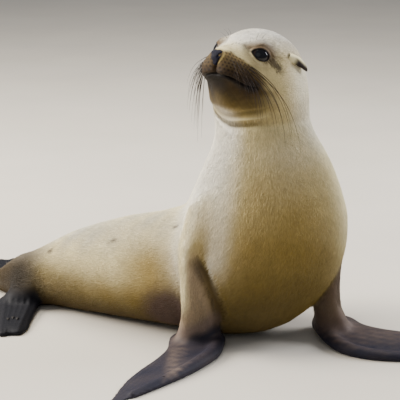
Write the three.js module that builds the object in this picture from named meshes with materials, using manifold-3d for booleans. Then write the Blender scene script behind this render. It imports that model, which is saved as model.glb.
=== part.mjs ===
// A young sea lion sitting up on a flat floor, life-size, in millimetres with +Z up.
// The chest faces -Y, the hindquarters trail towards -X and +Y, and the animal's left is on the +X side.
// The numbers below are from a point on the floor under the chest, and the finished group is moved so that
// its origin is where the belly rests.
// The flesh is one field of distances, made of tapering limbs and ovals that melt into each other.
// Each named part is the piece of that field's surface that lies between two thin cuts.
import * as THREE from "three";
import { mergeVertices } from "three/addons/utils/BufferGeometryUtils.js";
import Module from "manifold-3d";

const wasm = await Module();
wasm.setup();

const at = (x, y, z) => new THREE.Vector3(x, y, z);
const mix = (a, b, t) => a + (b - a) * t;

// ---------------------------------------------------------------- driving sizes
const GAP = 0.5; // between two pieces that meet
const CHEST = 139; // radius of the chest at its widest
const NECK = 80; // radius of the neck under the jaw
const HIPS = 54; // radius of the body where the hind flippers leave it
const EYE_BALL = 19; // radius of an eyeball
const LID = 2.4; // thickness of the lids over it
const EYE_OPENING = [16.5, 10.5]; // half width and half height of the opening between the lids

const ORIGIN = at(-48, -42, 0); // middle of the belly's flat, where the model's frame starts
const HEAD_CENTRE = at(-11, -22, 455);
const HEAD_YAW = 43; // degrees that the face is turned to the animal's right
const HEAD_PITCH = 12; // degrees that the muzzle is raised

// ---------------------------------------------------------------- distances
// Soft union of two distances, rounded over a width k.
function melt(a, b, k) {
  const h = Math.max(k - Math.abs(a - b), 0) / k;
  return Math.min(a, b) - (h * h * k) / 4;
}

// An oval with its own axes: x, y and z are unit vectors.
function oval(centre, radii, axes = WORLD) {
  const [rx, ry, rz] = radii;
  return (p) => {
    const dx = p.x - centre.x,
      dy = p.y - centre.y,
      dz = p.z - centre.z;
    const a = (dx * axes.x.x + dy * axes.x.y + dz * axes.x.z) / rx;
    const b = (dx * axes.y.x + dy * axes.y.y + dz * axes.y.z) / ry;
    const c = (dx * axes.z.x + dy * axes.z.y + dz * axes.z.z) / rz;
    const far = Math.hypot(a, b, c);
    const slope = Math.hypot(a / rx, b / ry, c / rz);
    return slope < 1e-9 ? -Math.min(rx, ry, rz) : (far * (far - 1)) / slope;
  };
}

// A limb from a to b whose radius runs from ra to rb. flat under 1 thins it along the direction normal.
function limb(a, b, ra, rb, flat = 1, normal = at(0, 0, 1)) {
  const stretch = 1 / flat - 1;
  const ab = b.clone().sub(a);
  ab.addScaledVector(normal, ab.dot(normal) * stretch);
  const long2 = ab.lengthSq();
  const q = at(0, 0, 0);
  return (p) => {
    q.copy(p).sub(a);
    q.addScaledVector(normal, q.dot(normal) * stretch);
    const t = Math.min(Math.max(q.dot(ab) / long2, 0), 1);
    q.addScaledVector(ab, -t);
    const far = q.length();
    const across = far > 1e-9 ? q.dot(normal) / far : 0;
    const slope = Math.sqrt(1 + (1 / (flat * flat) - 1) * across * across);
    return (far - mix(ra, rb, t)) / slope;
  };
}

// A bent body through stations, each with its middle and its radius, thinned like a limb.
function body(stations, steps, flat = 1, normal = at(0, 0, 1)) {
  const stretch = 1 / flat - 1;
  const wide = (p) => p.addScaledVector(normal, p.dot(normal) * stretch);
  const line = new THREE.CatmullRomCurve3(stations.map((s) => at(...s.at)), false, "centripetal");
  const sizes = new THREE.SplineCurve(stations.map((s, i) => new THREE.Vector2(i, s.r)));
  const rods = [];
  for (let i = 0; i < steps; i++) {
    const a = wide(line.getPoint(i / steps));
    const ab = wide(line.getPoint((i + 1) / steps)).sub(a);
    rods.push({ a, ab, ra: sizes.getPoint(i / steps).y, rb: sizes.getPoint((i + 1) / steps).y });
  }
  const q = at(0, 0, 0);
  return (p) => {
    wide(q.copy(p));
    let least = Infinity,
      slope = 1;
    for (const { a, ab, ra, rb } of rods) {
      const x = q.x - a.x,
        y = q.y - a.y,
        z = q.z - a.z;
      const t = Math.min(Math.max((x * ab.x + y * ab.y + z * ab.z) / ab.lengthSq(), 0), 1);
      const dx = x - t * ab.x,
        dy = y - t * ab.y,
        dz = z - t * ab.z;
      const away = Math.hypot(dx, dy, dz);
      const far = away - mix(ra, rb, t);
      if (far >= least) continue;
      least = far;
      const across = away > 1e-9 ? (dx * normal.x + dy * normal.y + dz * normal.z) / away : 0;
      slope = Math.sqrt(1 + (1 / (flat * flat) - 1) * across * across);
    }
    return least / slope;
  };
}

const together = (parts, k) => (p) => {
  let d = parts[0](p);
  for (let i = 1; i < parts.length; i++) d = melt(d, parts[i](p), k);
  return d;
};

const WORLD = { x: at(1, 0, 0), y: at(0, 1, 0), z: at(0, 0, 1) };

// ---------------------------------------------------------------- torso
const TORSO_STATIONS = [
  { at: [-6, -16, 430], r: 66 },
  { at: [-2, -18, 388], r: NECK - 3 },
  { at: [0, -20, 345], r: NECK + 1 },
  { at: [5, -28, 298], r: 93 },
  { at: [9, -36, 232], r: 121 },
  { at: [2, -44, 170], r: CHEST },
  { at: [-26, -46, 128], r: 127 },
  { at: [-130, -14, 103], r: 103 },
  { at: [-215, 28, 89], r: 91 },
  { at: [-300, 72, 70], r: 75 },
  { at: [-375, 112, 46], r: HIPS },
  { at: [-430, 140, 32], r: 36 },
  { at: [-500, 176, 15], r: 10 },
];
const torso = body(TORSO_STATIONS, 44);
const SHOULDERS = limb(at(14, 22, 300), at(-24, 30, 170), 54, 88); // the slope of the back behind the chest
const torsoField = together([torso, SHOULDERS], 36);

// ---------------------------------------------------------------- head
const yaw = THREE.MathUtils.degToRad(HEAD_YAW),
  pitch = THREE.MathUtils.degToRad(HEAD_PITCH);
const HEAD = {
  x: at(-Math.sin(yaw) * Math.cos(pitch), -Math.cos(yaw) * Math.cos(pitch), Math.sin(pitch)), // to the nose
  y: at(Math.cos(yaw), -Math.sin(yaw), 0), // to the animal's left
};
HEAD.z = HEAD.x.clone().cross(HEAD.y); // to the top of the head
const inHead = (f, l, u) =>
  HEAD_CENTRE.clone().addScaledVector(HEAD.x, f).addScaledVector(HEAD.y, l).addScaledVector(HEAD.z, u);
const headWay = (f, l, u) => inHead(f, l, u).sub(HEAD_CENTRE).normalize();
const headOval = (f, l, u, radii) => oval(inHead(f, l, u), radii, HEAD);
const bothSides = (make) => [make(1), make(-1)];

const skull = together(
  [
    headOval(-2, 0, -6, [70, 57, 48]), // braincase
    headOval(-10, 0, -38, [61, 60, 60]), // back of the jaw and throat
    ...bothSides((s) => headOval(18, s * 32, -26, [42, 27, 34])), // cheeks
  ],
  26,
);
const snout = together(
  [
    limb(inHead(22, 0, -11), inHead(78, 0, -14), 47, 28), // muzzle
    limb(inHead(6, 0, -50), inHead(62, 0, -46), 40, 21), // lower jaw
    headOval(91, 0, -4, [14, 18, 14]), // tip of the nose
    ...bothSides((s) => headOval(76, s * 19, -20, [25, 20, 19])), // whisker pads
  ],
  16,
);
const EYES = bothSides((s) => ({
  middle: inHead(42, s * 36.7, 10),
  out: headWay(0.6, s * 0.78, 0.2),
  corner: headWay(-0.71, s * 0.66, -0.25),
}));
const lids = (p) => Math.min(...EYES.map(({ middle }) => p.distanceTo(middle))) - EYE_BALL - LID;
const bareHead = together([skull, snout], 40);
const headField = (p) => melt(bareHead(p), lids(p), 8);

// ---------------------------------------------------------------- limbs
// The hands and feet are thin blades that lie on the floor: each is a flattened bent body with a
// rounded leading edge and, on the feet, five toes.
const sole = (x, y, r, flat) => ({ at: [x, y, r * flat - 1.5], r });
const edge = (points, ra, rb, steps) =>
  body(points.map(([x, y, z], i) => ({ at: [x, y, z], r: mix(ra, rb, i / (points.length - 1)) })), steps);

const HAND_FLAT = 0.18;
const handRight = together(
  [
    body(
      [
        [-112, -118, 44],
        [-118, -170, 42],
        [-142, -222, 38],
        [-168, -262, 34],
        [-192, -300, 28],
        [-212, -332, 19],
        [-230, -363, 10],
      ].map((s) => sole(...s, HAND_FLAT)),
      18,
      HAND_FLAT,
    ),
    edge(
      [[-76, -128, 9], [-84, -180, 8], [-112, -232, 7], [-142, -274, 6], [-172, -308, 5], [-206, -346, 4]],
      12,
      5,
      14,
    ),
  ],
  10,
);
const LEFT_TILT = at(0.02, -0.13, 0.99).normalize();
const handLeft = together(
  [
    body(
      [
        { at: [126, -64, 13], r: 40 },
        { at: [140, -104, 12], r: 47 },
        { at: [176, -138, 11], r: 51 },
        { at: [226, -154, 10], r: 49 },
        { at: [280, -164, 8], r: 42 },
        { at: [330, -172, 5], r: 30 },
        { at: [364, -179, 2.5], r: 13 },
      ],
      20,
      0.15,
      LEFT_TILT,
    ),
    edge(
      [
        [106, -68, 12],
        [112, -116, 10],
        [134, -164, 8],
        [174, -188, 7],
        [226, -196, 6],
        [290, -198, 5],
        [348, -190, 4],
      ],
      13,
      5,
      16,
    ),
  ],
  10,
);
const armRight = body(
  [
    { at: [-88, -94, 208], r: 36 },
    { at: [-100, -116, 160], r: 41 },
    { at: [-102, -133, 104], r: 37 },
    { at: [-104, -132, 56], r: 35 },
    { at: [-110, -126, 16], r: 35 },
  ],
  12,
  0.62,
  at(0.35, -0.93, 0.12).normalize(),
);
const armLeft = body(
  [
    { at: [104, -14, 184], r: 40 },
    { at: [110, -32, 140], r: 40 },
    { at: [107, -54, 84], r: 38 },
    { at: [110, -70, 44], r: 37 },
    { at: [122, -84, 18], r: 35 },
  ],
  12,
  0.58,
  at(0.93, 0.35, 0).normalize(),
);

// Five toes from an ankle, the outer two longest. way is in degrees from +X, and fan turns each next toe.
const TOES = [144, 131, 125, 129, 138];
const onFloor = (way) => at(1, 0, 0).applyAxisAngle(at(0, 0, 1), THREE.MathUtils.degToRad(way));
const foot = (ankle, way, fan, gap) => {
  const toes = TOES.map((long, i) => {
    const out = onFloor(way + fan * (i - 2));
    const root = ankle.clone().addScaledVector(at(-out.y, out.x, 0), gap * (i - 2));
    const tip = root.clone().addScaledVector(out, long).setZ(3.5);
    return limb(root.setZ(12), tip, 15, 9.5, 0.55);
  });
  const palm = ankle.clone().addScaledVector(onFloor(way), 118).setZ(4);
  const web = limb(ankle.clone().setZ(9), palm, 34, 30, 0.2);
  return together([...toes, web], 6);
};
const footRight = foot(at(-426, 66, 14), -90, -2, 11.5);
const footLeft = foot(at(-440, 196, 14), 112, 5, 11);
const shinRight = limb(at(-398, 104, 44), at(-424, 60, 20), 40, 26, 0.85);
const shinLeft = limb(at(-408, 150, 42), at(-438, 188, 20), 38, 28, 0.8);

const foreRight = together([armRight, handRight], 18);
const foreLeft = together([armLeft, handLeft], 18);
const upperBody = together([torsoField, headField], 44);
const flesh = (p) => {
  const feet = Math.min(melt(footRight(p), shinRight(p), 16), melt(footLeft(p), shinLeft(p), 16));
  return melt(upperBody(p), feet, 20);
};

// ---------------------------------------------------------------- surfaces
// The closed surface of a field inside a box, on cells of the given size, as a BufferGeometry.
function surface(field, low, high, cell) {
  const n = [0, 1, 2].map((i) => Math.ceil((high[i] - low[i]) / cell[i]) + 1);
  const id = (i, j, k) => (k * n[1] + j) * n[0] + i;
  const value = new Float32Array(n[0] * n[1] * n[2]);
  const p = at(0, 0, 0);
  for (let k = 0; k < n[2]; k++)
    for (let j = 0; j < n[1]; j++)
      for (let i = 0; i < n[0]; i++) {
        const edge = !i || !j || !k || i === n[0] - 1 || j === n[1] - 1 || k === n[2] - 1;
        p.set(low[0] + i * cell[0], low[1] + j * cell[1], low[2] + k * cell[2]);
        value[id(i, j, k)] = edge ? Math.max(field(p), 0.01) : field(p);
      }
  separate(value, n);
  const vertex = new Map();
  const places = [];
  const corners = [0, 1, 2, 3, 4, 5, 6, 7].map((c) => [c & 1, (c >> 1) & 1, c >> 2]);
  const pairs = [];
  for (let a = 0; a < 8; a++)
    for (let b = a + 1; b < 8; b++) if ([1, 2, 4].includes(a ^ b)) pairs.push([corners[a], corners[b]]);
  for (let k = 0; k < n[2] - 1; k++)
    for (let j = 0; j < n[1] - 1; j++)
      for (let i = 0; i < n[0] - 1; i++) {
        let found = 0;
        const sum = [0, 0, 0];
        for (const [a, b] of pairs) {
          const va = value[id(i + a[0], j + a[1], k + a[2])];
          const vb = value[id(i + b[0], j + b[1], k + b[2])];
          if (va < 0 === vb < 0) continue;
          const t = va / (va - vb);
          found++;
          for (let c = 0; c < 3; c++) sum[c] += mix(a[c], b[c], t);
        }
        if (!found) continue;
        vertex.set(id(i, j, k), places.length / 3);
        [i, j, k].forEach((g, c) => places.push(low[c] + (g + sum[c] / found) * cell[c]));
      }
  const faces = [];
  const step = [1, n[0], n[0] * n[1]];
  for (let k = 0; k < n[2] - 1; k++)
    for (let j = 0; j < n[1] - 1; j++)
      for (let i = 0; i < n[0] - 1; i++)
        for (let axis = 0; axis < 3; axis++) {
          if ([i, j, k].some((c, other) => other !== axis && !c)) continue;
          const here = id(i, j, k);
          const inside = value[here] < 0;
          if (inside === value[here + step[axis]] < 0) continue;
          const u = step[(axis + 1) % 3],
            w = step[(axis + 2) % 3];
          const quad = [here - u - w, here - w, here, here - u].map((c) => vertex.get(c));
          if (!inside) quad.reverse();
          faces.push(quad[0], quad[1], quad[2], quad[0], quad[2], quad[3]);
        }
  settle(field, places, Math.max(Math.min(...cell) * 0.5, Math.max(...cell) * 0.25));
  const g = new THREE.BufferGeometry();
  g.setAttribute("position", new THREE.Float32BufferAttribute(places, 3));
  g.setIndex(faces);
  return g;
}

// Where two sheets would touch along the diagonal of a grid square, lifts the shallower corner out.
function separate(value, n) {
  const step = [1, n[0], n[0] * n[1]];
  for (let found = true; found; ) {
    found = false;
    for (let k = 0; k < n[2] - 1; k++)
      for (let j = 0; j < n[1] - 1; j++)
        for (let i = 0; i < n[0] - 1; i++)
          for (const [u, w] of [
            [step[0], step[1]],
            [step[1], step[2]],
            [step[2], step[0]],
          ]) {
            const a = (k * n[1] + j) * n[0] + i;
            const [p, q, r, s] = [a, a + u, a + u + w, a + w].map((c) => value[c] < 0);
            if (p !== r || q !== s || p === q) continue;
            const [c, d] = p ? [a, a + u + w] : [a + u, a + w];
            value[value[c] > value[d] ? c : d] = 0.01;
            found = true;
          }
  }
}

// Moves points onto the field's surface, each by at most reach.
function settle(field, places, reach) {
  const p = at(0, 0, 0);
  const e = 0.5;
  for (let i = 0; i < places.length; i += 3)
    for (let round = 0; round < 3; round++) {
      const slope = [0, 1, 2].map((c) => {
        const probe = (s) => {
          p.set(places[i], places[i + 1], places[i + 2]).setComponent(c, places[i + c] + s);
          return field(p);
        };
        return (probe(e) - probe(-e)) / (2 * e);
      });
      const d = field(p.set(places[i], places[i + 1], places[i + 2]));
      const steep = slope[0] ** 2 + slope[1] ** 2 + slope[2] ** 2 || 1;
      for (let c = 0; c < 3; c++) places[i + c] -= Math.min(Math.max((d * slope[c]) / steep, -reach), reach);
    }
}

// ---------------------------------------------------------------- cutting
// The solid of a closed geometry.
function solid(geometry) {
  const bare = geometry.clone();
  for (const name of Object.keys(bare.attributes)) if (name !== "position") bare.deleteAttribute(name);
  const merged = mergeVertices(bare, 1e-3);
  const vertProperties = merged.attributes.position.array;
  return new wasm.Manifold(new wasm.Mesh({ numProp: 3, vertProperties, triVerts: merged.index.array }));
}

// The half of space ahead of the plane through place, facing way, pulled back by half the gap.
function ahead(place, way, gap = GAP) {
  const size = 1600;
  const box = new THREE.BoxGeometry(size, size, size).translate(0, 0, size / 2 - gap / 2);
  box.applyQuaternion(new THREE.Quaternion().setFromUnitVectors(at(0, 0, 1), way.clone().normalize()));
  return solid(box.translate(place.x, place.y, place.z));
}
const FLOOR = ahead(at(0, 0, 0), at(0, 0, -1), 0);

// What a plane leaves: front keeps what is ahead of it and back keeps what is behind it.
const cut = (place, way) => ({
  front: (body) => body.subtract(ahead(place, way.clone().negate())),
  back: (body) => body.subtract(ahead(place, way)),
});

// ---------------------------------------------------------------- cuts
const throat = cut(at(-9, -22, 378), at(0.12, 0.14, 1));
const collar = cut(at(4, -28, 298), at(0.08, 0.22, 1));
const girdle = cut(at(-152, -4, 100), at(0.88, -0.46, 0.12));
const loins = cut(at(-300, 72, 70), at(0.88, -0.46, 0.1));
const rump = cut(at(-472, 161, 24), at(0.94, -0.34, 0.1));
const footRoom = (grow) => solid(new THREE.BoxGeometry(96 + grow, 200 + grow, 120).translate(-432, -56, 40));
const ankleLeft = cut(at(-449, 216, 12), at(0.37, -0.93, 0));
const wristRight = cut(at(-108, -112, 27), at(0, 0, 1));
const wristLeft = cut(at(116, -80, 30), at(-0.25, 0.15, 1));
const whiskerLine = cut(inHead(61, 0, 0), headWay(0.94, 0, -0.34));
const lips = cut(inHead(70, 0, -36), headWay(-0.23, 0, 0.97));

const lying = (field, low, high, cell) => solid(surface(field, low, high, cell)).subtract(FLOOR);

// ---------------------------------------------------------------- head
const headAxes = new THREE.Matrix4().makeBasis(HEAD.x, HEAD.y, HEAD.z);
const eyeAxes = ({ out, corner }) => {
  const up = out.clone().cross(corner).normalize();
  return new THREE.Matrix4().makeBasis(up.clone().cross(out), up, out);
};
const ball = (radius) => new THREE.SphereGeometry(radius, 14, 10);
const put = (geometry, place) => geometry.translate(place.x, place.y, place.z);
const nosePad = (grow) =>
  solid(put(ball(1).scale(15 + grow, 14 + grow, 12 + grow).applyMatrix4(headAxes), inHead(105, 0, 0)));

const skullBox = [[-125, -140, 345], [115, 100, 560], [19, 19, 19]];
const faceBox = [[-125, -140, 345], [60, 60, 545], [12, 12, 12]];
let skullPiece = throat.front(whiskerLine.back(solid(surface(flesh, ...skullBox))));
for (const eye of EYES) {
  const front = eye.middle.clone().addScaledVector(eye.out, EYE_BALL - 1);
  const opening = ball(1).scale(EYE_OPENING[0], EYE_OPENING[1], 14).applyMatrix4(eyeAxes(eye));
  skullPiece = skullPiece
    .subtract(solid(put(ball(EYE_BALL + GAP), eye.middle)))
    .subtract(solid(put(opening, front)));
}
const face = throat.front(whiskerLine.front(solid(surface(flesh, ...faceBox))));
const skullGrown = solid(surface((p) => flesh(p) - 2 * GAP, ...skullBox));
const earShape = (s) => {
  const ear = limb(inHead(-6, s * 62, 12), inHead(-38, s * 78, -1), 10.5, 4.5, 0.62, headWay(0, s * 0.5, 1));
  const middle = inHead(-22, s * 67, 5);
  const low = middle.clone().subScalar(32),
    high = middle.clone().addScalar(32);
  return solid(surface(ear, low.toArray(), high.toArray(), [5, 5, 5])).subtract(skullGrown);
};

// ---------------------------------------------------------------- body and limbs
const CHEST_BOX = [[-250, -210, -14], [175, 180, 420], [31, 31, 31]];
const chestShape = lying(flesh, ...CHEST_BOX);
const chestGrown = lying((p) => flesh(p) - 2 * GAP, ...CHEST_BOX);
const trunkShape = lying(flesh, [-560, -140, -14], [-60, 260, 230], [30, 30, 24]);
const hipsShape = lying(flesh, [-560, -10, -12], [-240, 330, 180], [25, 25, 18]);
const fore = (field, cell) =>
  field === foreRight
    ? lying(field, [-280, -400, -6], [-30, -20, 244], cell).subtract(chestGrown)
    : lying(field, [40, -240, -6], [400, 40, 240], cell).subtract(chestGrown);
const ARM_CELL = [17, 17, 17];
const HAND_CELL = [18, 18, 3.8];
const HIND_CELL = [15.5, 15.5, 3.8];

const pieces = {
  head: [skullPiece, 0xcdc5b4],
  muzzle: [lips.front(face).subtract(nosePad(GAP / 2)), 0x4a3728],
  lower_jaw: [lips.back(face), 0x8a6a43],
  nose: [lips.front(face).intersect(nosePad(-GAP / 2)), 0x1d1a1c],
  ear_left: [earShape(1), 0x6b5a48],
  ear_right: [earShape(-1), 0x6b5a48],
  neck: [collar.front(throat.back(chestShape)), 0xcbbd97],
  chest: [girdle.front(collar.back(chestShape)), 0xb8a06a],
  abdomen: [loins.front(girdle.back(trunkShape)), 0xbdb193],
  hips: [ankleLeft.front(rump.front(loins.back(hipsShape))).subtract(footRoom(GAP)), 0x9d8a68],
  tail: [ankleLeft.front(rump.back(lying(flesh, [-530, 90, -10], [-440, 230, 80], [11, 11, 8]))), 0x5a4636],
  arm_left: [wristLeft.front(fore(foreLeft, ARM_CELL)), 0x6a5440],
  arm_right: [wristRight.front(fore(foreRight, ARM_CELL)), 0x7d6347],
  foreflipper_left: [wristLeft.back(fore(foreLeft, HAND_CELL)), 0x23222e],
  foreflipper_right: [wristRight.back(fore(foreRight, HAND_CELL)), 0x23222e],
  hind_flipper_left: [ankleLeft.back(lying(flesh, [-560, 160, -8], [-400, 380, 80], HIND_CELL)), 0x2c2a33],
  hind_flipper_right: [
    lying(flesh, [-500, -110, -8], [-366, 80, 80], HIND_CELL).intersect(footRoom(-GAP)),
    0x2c2a33,
  ],
};

// ---------------------------------------------------------------- the model
const model = new THREE.Group();
model.position.copy(ORIGIN).negate();
const finish = (color, roughness) => new THREE.MeshStandardMaterial({ color, roughness, metalness: 0 });
for (const [name, [body, colour]] of Object.entries(pieces)) {
  const { vertProperties, triVerts } = body.getMesh();
  const geometry = new THREE.BufferGeometry()
    .setAttribute("position", new THREE.BufferAttribute(vertProperties, 3))
    .setIndex(new THREE.BufferAttribute(triVerts, 1));
  geometry.computeVertexNormals();
  const mesh = new THREE.Mesh(geometry, finish(colour, 0.8));
  mesh.name = name;
  model.add(mesh);
}
EYES.forEach((eye, i) => {
  const mesh = new THREE.Mesh(ball(EYE_BALL), finish(0x0b0a0d, 0.05));
  mesh.name = i ? "eye_right" : "eye_left";
  mesh.position.copy(eye.middle);
  model.add(mesh);
});
export default model;
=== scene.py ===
# %% [markdown]
# # A young sea lion at life size
# The animal sits up on its fore flippers with the head turned, and the hindquarters trail out behind.
# Under the fur it is one body in one skin, so the lesson builds one skin, then the soft parts set into it
# (eyes, nose, claws), then what grows out of it (whiskers and fur). Everything rests in the frame that the
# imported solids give, so nothing has to be fitted by hand.

# %% Load the frame
import math
import time

import bpy
import numpy as np
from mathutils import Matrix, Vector


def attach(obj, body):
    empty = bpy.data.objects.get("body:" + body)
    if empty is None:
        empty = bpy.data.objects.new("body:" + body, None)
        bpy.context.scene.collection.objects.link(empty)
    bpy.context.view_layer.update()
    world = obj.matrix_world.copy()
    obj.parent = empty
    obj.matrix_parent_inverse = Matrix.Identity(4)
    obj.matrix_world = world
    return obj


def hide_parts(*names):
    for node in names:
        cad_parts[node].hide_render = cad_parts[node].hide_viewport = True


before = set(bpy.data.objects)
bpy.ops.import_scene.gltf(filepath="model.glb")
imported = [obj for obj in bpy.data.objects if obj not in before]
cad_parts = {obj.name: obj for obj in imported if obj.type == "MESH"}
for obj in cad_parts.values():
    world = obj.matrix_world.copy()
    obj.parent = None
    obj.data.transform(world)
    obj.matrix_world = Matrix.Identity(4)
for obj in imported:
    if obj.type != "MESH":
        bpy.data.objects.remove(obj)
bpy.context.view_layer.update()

started = time.time()


def progress(words):
    print(f"[{time.time() - started:6.1f} s] {words}")


# %% [markdown]
# ## Camera
# The animal is seen from a little above its own eye level with a long lens, as a visitor who kneels some
# way off would see it. A long lens keeps the head from growing against the body. The camera is set first,
# because every later step is judged through it.

# %% Camera
CAMERA_AT = (-0.057, -2.3728, 0.862)
CAMERA_TILT = 75  # degrees from straight down
CAMERA_FIELD = 15.489  # degrees across the frame


def in_scene(name, data):
    """A new object in the scene that shows some data."""
    made = bpy.data.objects.new(name, data)
    bpy.context.scene.collection.objects.link(made)
    return made


camera_data = bpy.data.cameras.new("camera")
camera_data.lens_unit = "FOV"
camera_data.angle = math.radians(CAMERA_FIELD)
camera = in_scene("camera", camera_data)
camera.location = CAMERA_AT
camera.rotation_euler = (math.radians(CAMERA_TILT), 0, 0)
bpy.context.scene.camera = camera
print("camera at", CAMERA_AT)

# %% [markdown]
# ## The flesh as a field of distances
# A soft body has no edges to model from. It could be sculpted by hand or lofted from rings, but the
# neck, the shoulders and the flippers all run into each other, and rings would pinch there. Here each mass
# of muscle is a simple shape (an oval, a tapering limb, a bent body), each gives its distance from any
# point, and a soft union melts them into each other. The skin is then the surface where the distance is
# nought. The shapes are the same ones that the solids were made from, in millimetres from a point on the
# floor under the chest.

# %% Distances of simple shapes
MM = 0.001
FRAME_SHIFT = np.array([48.0, 42.0, 0.0])  # from the drawing's own origin to the frame's, in millimetres
UP = np.array([0.0, 0.0, 1.0])


def unit(v):
    v = np.asarray(v, float)
    return v / np.linalg.norm(v)


def unit_rows(v):
    return v / np.maximum(np.linalg.norm(v, axis=1, keepdims=True), 1e-9)


def smooth(x, low, high):
    t = np.clip((x - low) / (high - low), 0, 1)
    return t * t * (3 - 2 * t)


def mix(a, b, t):
    return a + (b - a) * t


def melt(a, b, k):
    h = np.maximum(k - np.abs(a - b), 0) / k
    return np.minimum(a, b) - h * h * k / 4


def together(parts, k):
    def field(p):
        d = parts[0](p)
        for part in parts[1:]:
            d = melt(d, part(p), k)
        return d

    return field


def oval(centre, radii, axes):
    centre, radii, axes = np.asarray(centre, float), np.asarray(radii, float), np.asarray(axes)

    def field(p):
        q = ((p - centre) @ axes.T) / radii
        far = np.sqrt((q * q).sum(1))
        slope = np.sqrt(((q / radii) ** 2).sum(1))
        return far * (far - 1) / np.maximum(slope, 1e-9)

    return field


egg = oval((0, 0, 0), (30, 20, 10), np.eye(3))
print("distances on an oval's tip and 10 mm off it:", egg(np.array([[30.0, 0, 0], [40, 0, 0]])).round(1))

# %% [markdown]
# A limb is a rod whose radius changes from end to end. A bent body is a chain of such rods along a smooth
# curve. Both can be thinned along one direction, which is how a flipper becomes a blade.

# %% Limbs and bent bodies
def widen(p, flat, normal):
    return p + (p @ normal)[..., None] * normal * (1 / flat - 1)


def chain(rods, flat, normal):
    def field(p):
        qx, qy, qz = np.ascontiguousarray(widen(p, flat, normal).T)
        least = np.full(len(p), np.inf)
        across = np.zeros(len(p))
        for a, ab, ra, rb in rods:
            x, y, z = qx - a[0], qy - a[1], qz - a[2]
            t = np.clip((x * ab[0] + y * ab[1] + z * ab[2]) / (ab @ ab), 0, 1)
            x -= t * ab[0]
            y -= t * ab[1]
            z -= t * ab[2]
            away = np.sqrt(x * x + y * y + z * z)
            far = away - (ra + (rb - ra) * t)
            if flat != 1:
                nearer = far < least
                tilt = (x * normal[0] + y * normal[1] + z * normal[2]) / np.maximum(away, 1e-9)
                across = np.where(nearer, tilt, across)
            least = np.minimum(least, far)
        return least / np.sqrt(1 + (1 / flat**2 - 1) * across**2)

    return field


def within(field, low, high):
    """The field inside a box that holds its shape with room to spare, and far away outside it."""
    def boxed(p):
        out = np.full(len(p), 300.0)
        inside = ((p > low) & (p < high)).all(1)
        out[inside] = field(p[inside])
        return out

    return boxed


def limb(a, b, ra, rb, flat=1.0, normal=UP):
    normal = unit(normal)
    a, b = widen(np.array([a, b], float), flat, normal)
    return chain([(a, b - a, ra, rb)], flat, normal)


def curve_points(points, ts):
    """A centripetal Catmull-Rom curve through the points, at shares ts of its stations."""
    points = np.asarray(points, float)
    ends = [2 * points[0] - points[1], *points, 2 * points[-1] - points[-2]]
    out = []
    for t in ts:
        i = min(int(t * (len(points) - 1)), len(points) - 2)
        w = t * (len(points) - 1) - i
        p0, p1, p2, p3 = ends[i : i + 4]
        steps = ((p0, p1), (p1, p2), (p2, p3))
        d0, d1, d2 = (max(np.linalg.norm(b - a), 1e-4) ** 0.5 for a, b in steps)
        m1 = ((p1 - p0) / d0 - (p2 - p0) / (d0 + d1) + (p2 - p1) / d1) * d1
        m2 = ((p2 - p1) / d1 - (p3 - p1) / (d1 + d2) + (p3 - p2) / d2) * d1
        square, cube = 3 * (p2 - p1) - 2 * m1 - m2, 2 * (p1 - p2) + m1 + m2
        out.append(p1 + m1 * w + square * w**2 + cube * w**3)
    return np.array(out)


def curve_sizes(sizes, ts):
    """A plain Catmull-Rom curve through the sizes, with its ends held."""
    sizes = np.asarray(sizes, float)
    out = []
    for t in ts:
        i = min(int(t * (len(sizes) - 1)), len(sizes) - 1)
        w = t * (len(sizes) - 1) - i
        last = len(sizes) - 1
        a, b, c, d = (sizes[min(max(j, 0), last)] for j in (i - 1, i, i + 1, i + 2))
        m, n = (c - a) / 2, (d - b) / 2
        square, cube = -3 * b + 3 * c - 2 * m - n, 2 * b - 2 * c + m + n
        out.append(cube * w**3 + square * w**2 + m * w + b)
    return np.array(out)


def body(stations, steps, flat=1.0, normal=UP):
    """A bent body through stations (x, y, z, radius)."""
    normal = unit(normal)
    ts = np.arange(steps + 1) / steps
    line = widen(curve_points([s[:3] for s in stations], ts), flat, normal)
    sizes = curve_sizes([s[3] for s in stations], ts)
    rods = [(line[i], line[i + 1] - line[i], sizes[i], sizes[i + 1]) for i in range(steps)]
    return chain(rods, flat, normal)


rod = limb((0, 0, 0), (0, 0, 100), 20, 10)
print("30 mm beside the middle of a limb, 15 mm thick there:", rod(np.array([[30.0, 0, 50]])).round(1))

# %% [markdown]
# ## Torso and head
# The torso is one bent body from the neck to the root of the tail: thin-necked, deepest at the chest, and
# tapering all the way to the ankles, as a swimmer's is. The head has a frame of its own, so that the
# muzzle, the eyes and the ears can be placed along its length, side and height whichever way it turns.

# %% Torso
CHEST, NECK, HIPS = 139, 80, 54
TORSO_STATIONS = [
    (-6, -16, 430, 66),
    (-2, -18, 388, NECK - 3),
    (0, -20, 345, NECK + 1),
    (5, -28, 298, 93),
    (9, -36, 232, 121),
    (2, -44, 170, CHEST),
    (-26, -46, 128, 127),
    (-130, -14, 103, 103),
    (-215, 28, 89, 91),
    (-300, 72, 70, 75),
    (-375, 112, 46, HIPS),
    (-430, 140, 32, 36),
    (-500, 176, 15, 10),
]
shoulders = limb((14, 22, 300), (-24, 30, 170), 54, 88)
torso = together([body(TORSO_STATIONS, 44), shoulders], 36)
print("torso:", 2 * CHEST, "mm thick at the chest and", 2 * NECK, "at the neck")

# %% Head
HEAD_CENTRE = np.array([-11.0, -22.0, 455.0])
HEAD_YAW, HEAD_PITCH = math.radians(43), math.radians(12)
head_forward = np.array([
    -math.sin(HEAD_YAW) * math.cos(HEAD_PITCH),
    -math.cos(HEAD_YAW) * math.cos(HEAD_PITCH),
    math.sin(HEAD_PITCH),
])
head_left = np.array([math.cos(HEAD_YAW), -math.sin(HEAD_YAW), 0.0])
HEAD_AXES = np.array([head_forward, head_left, np.cross(head_forward, head_left)])


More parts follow.
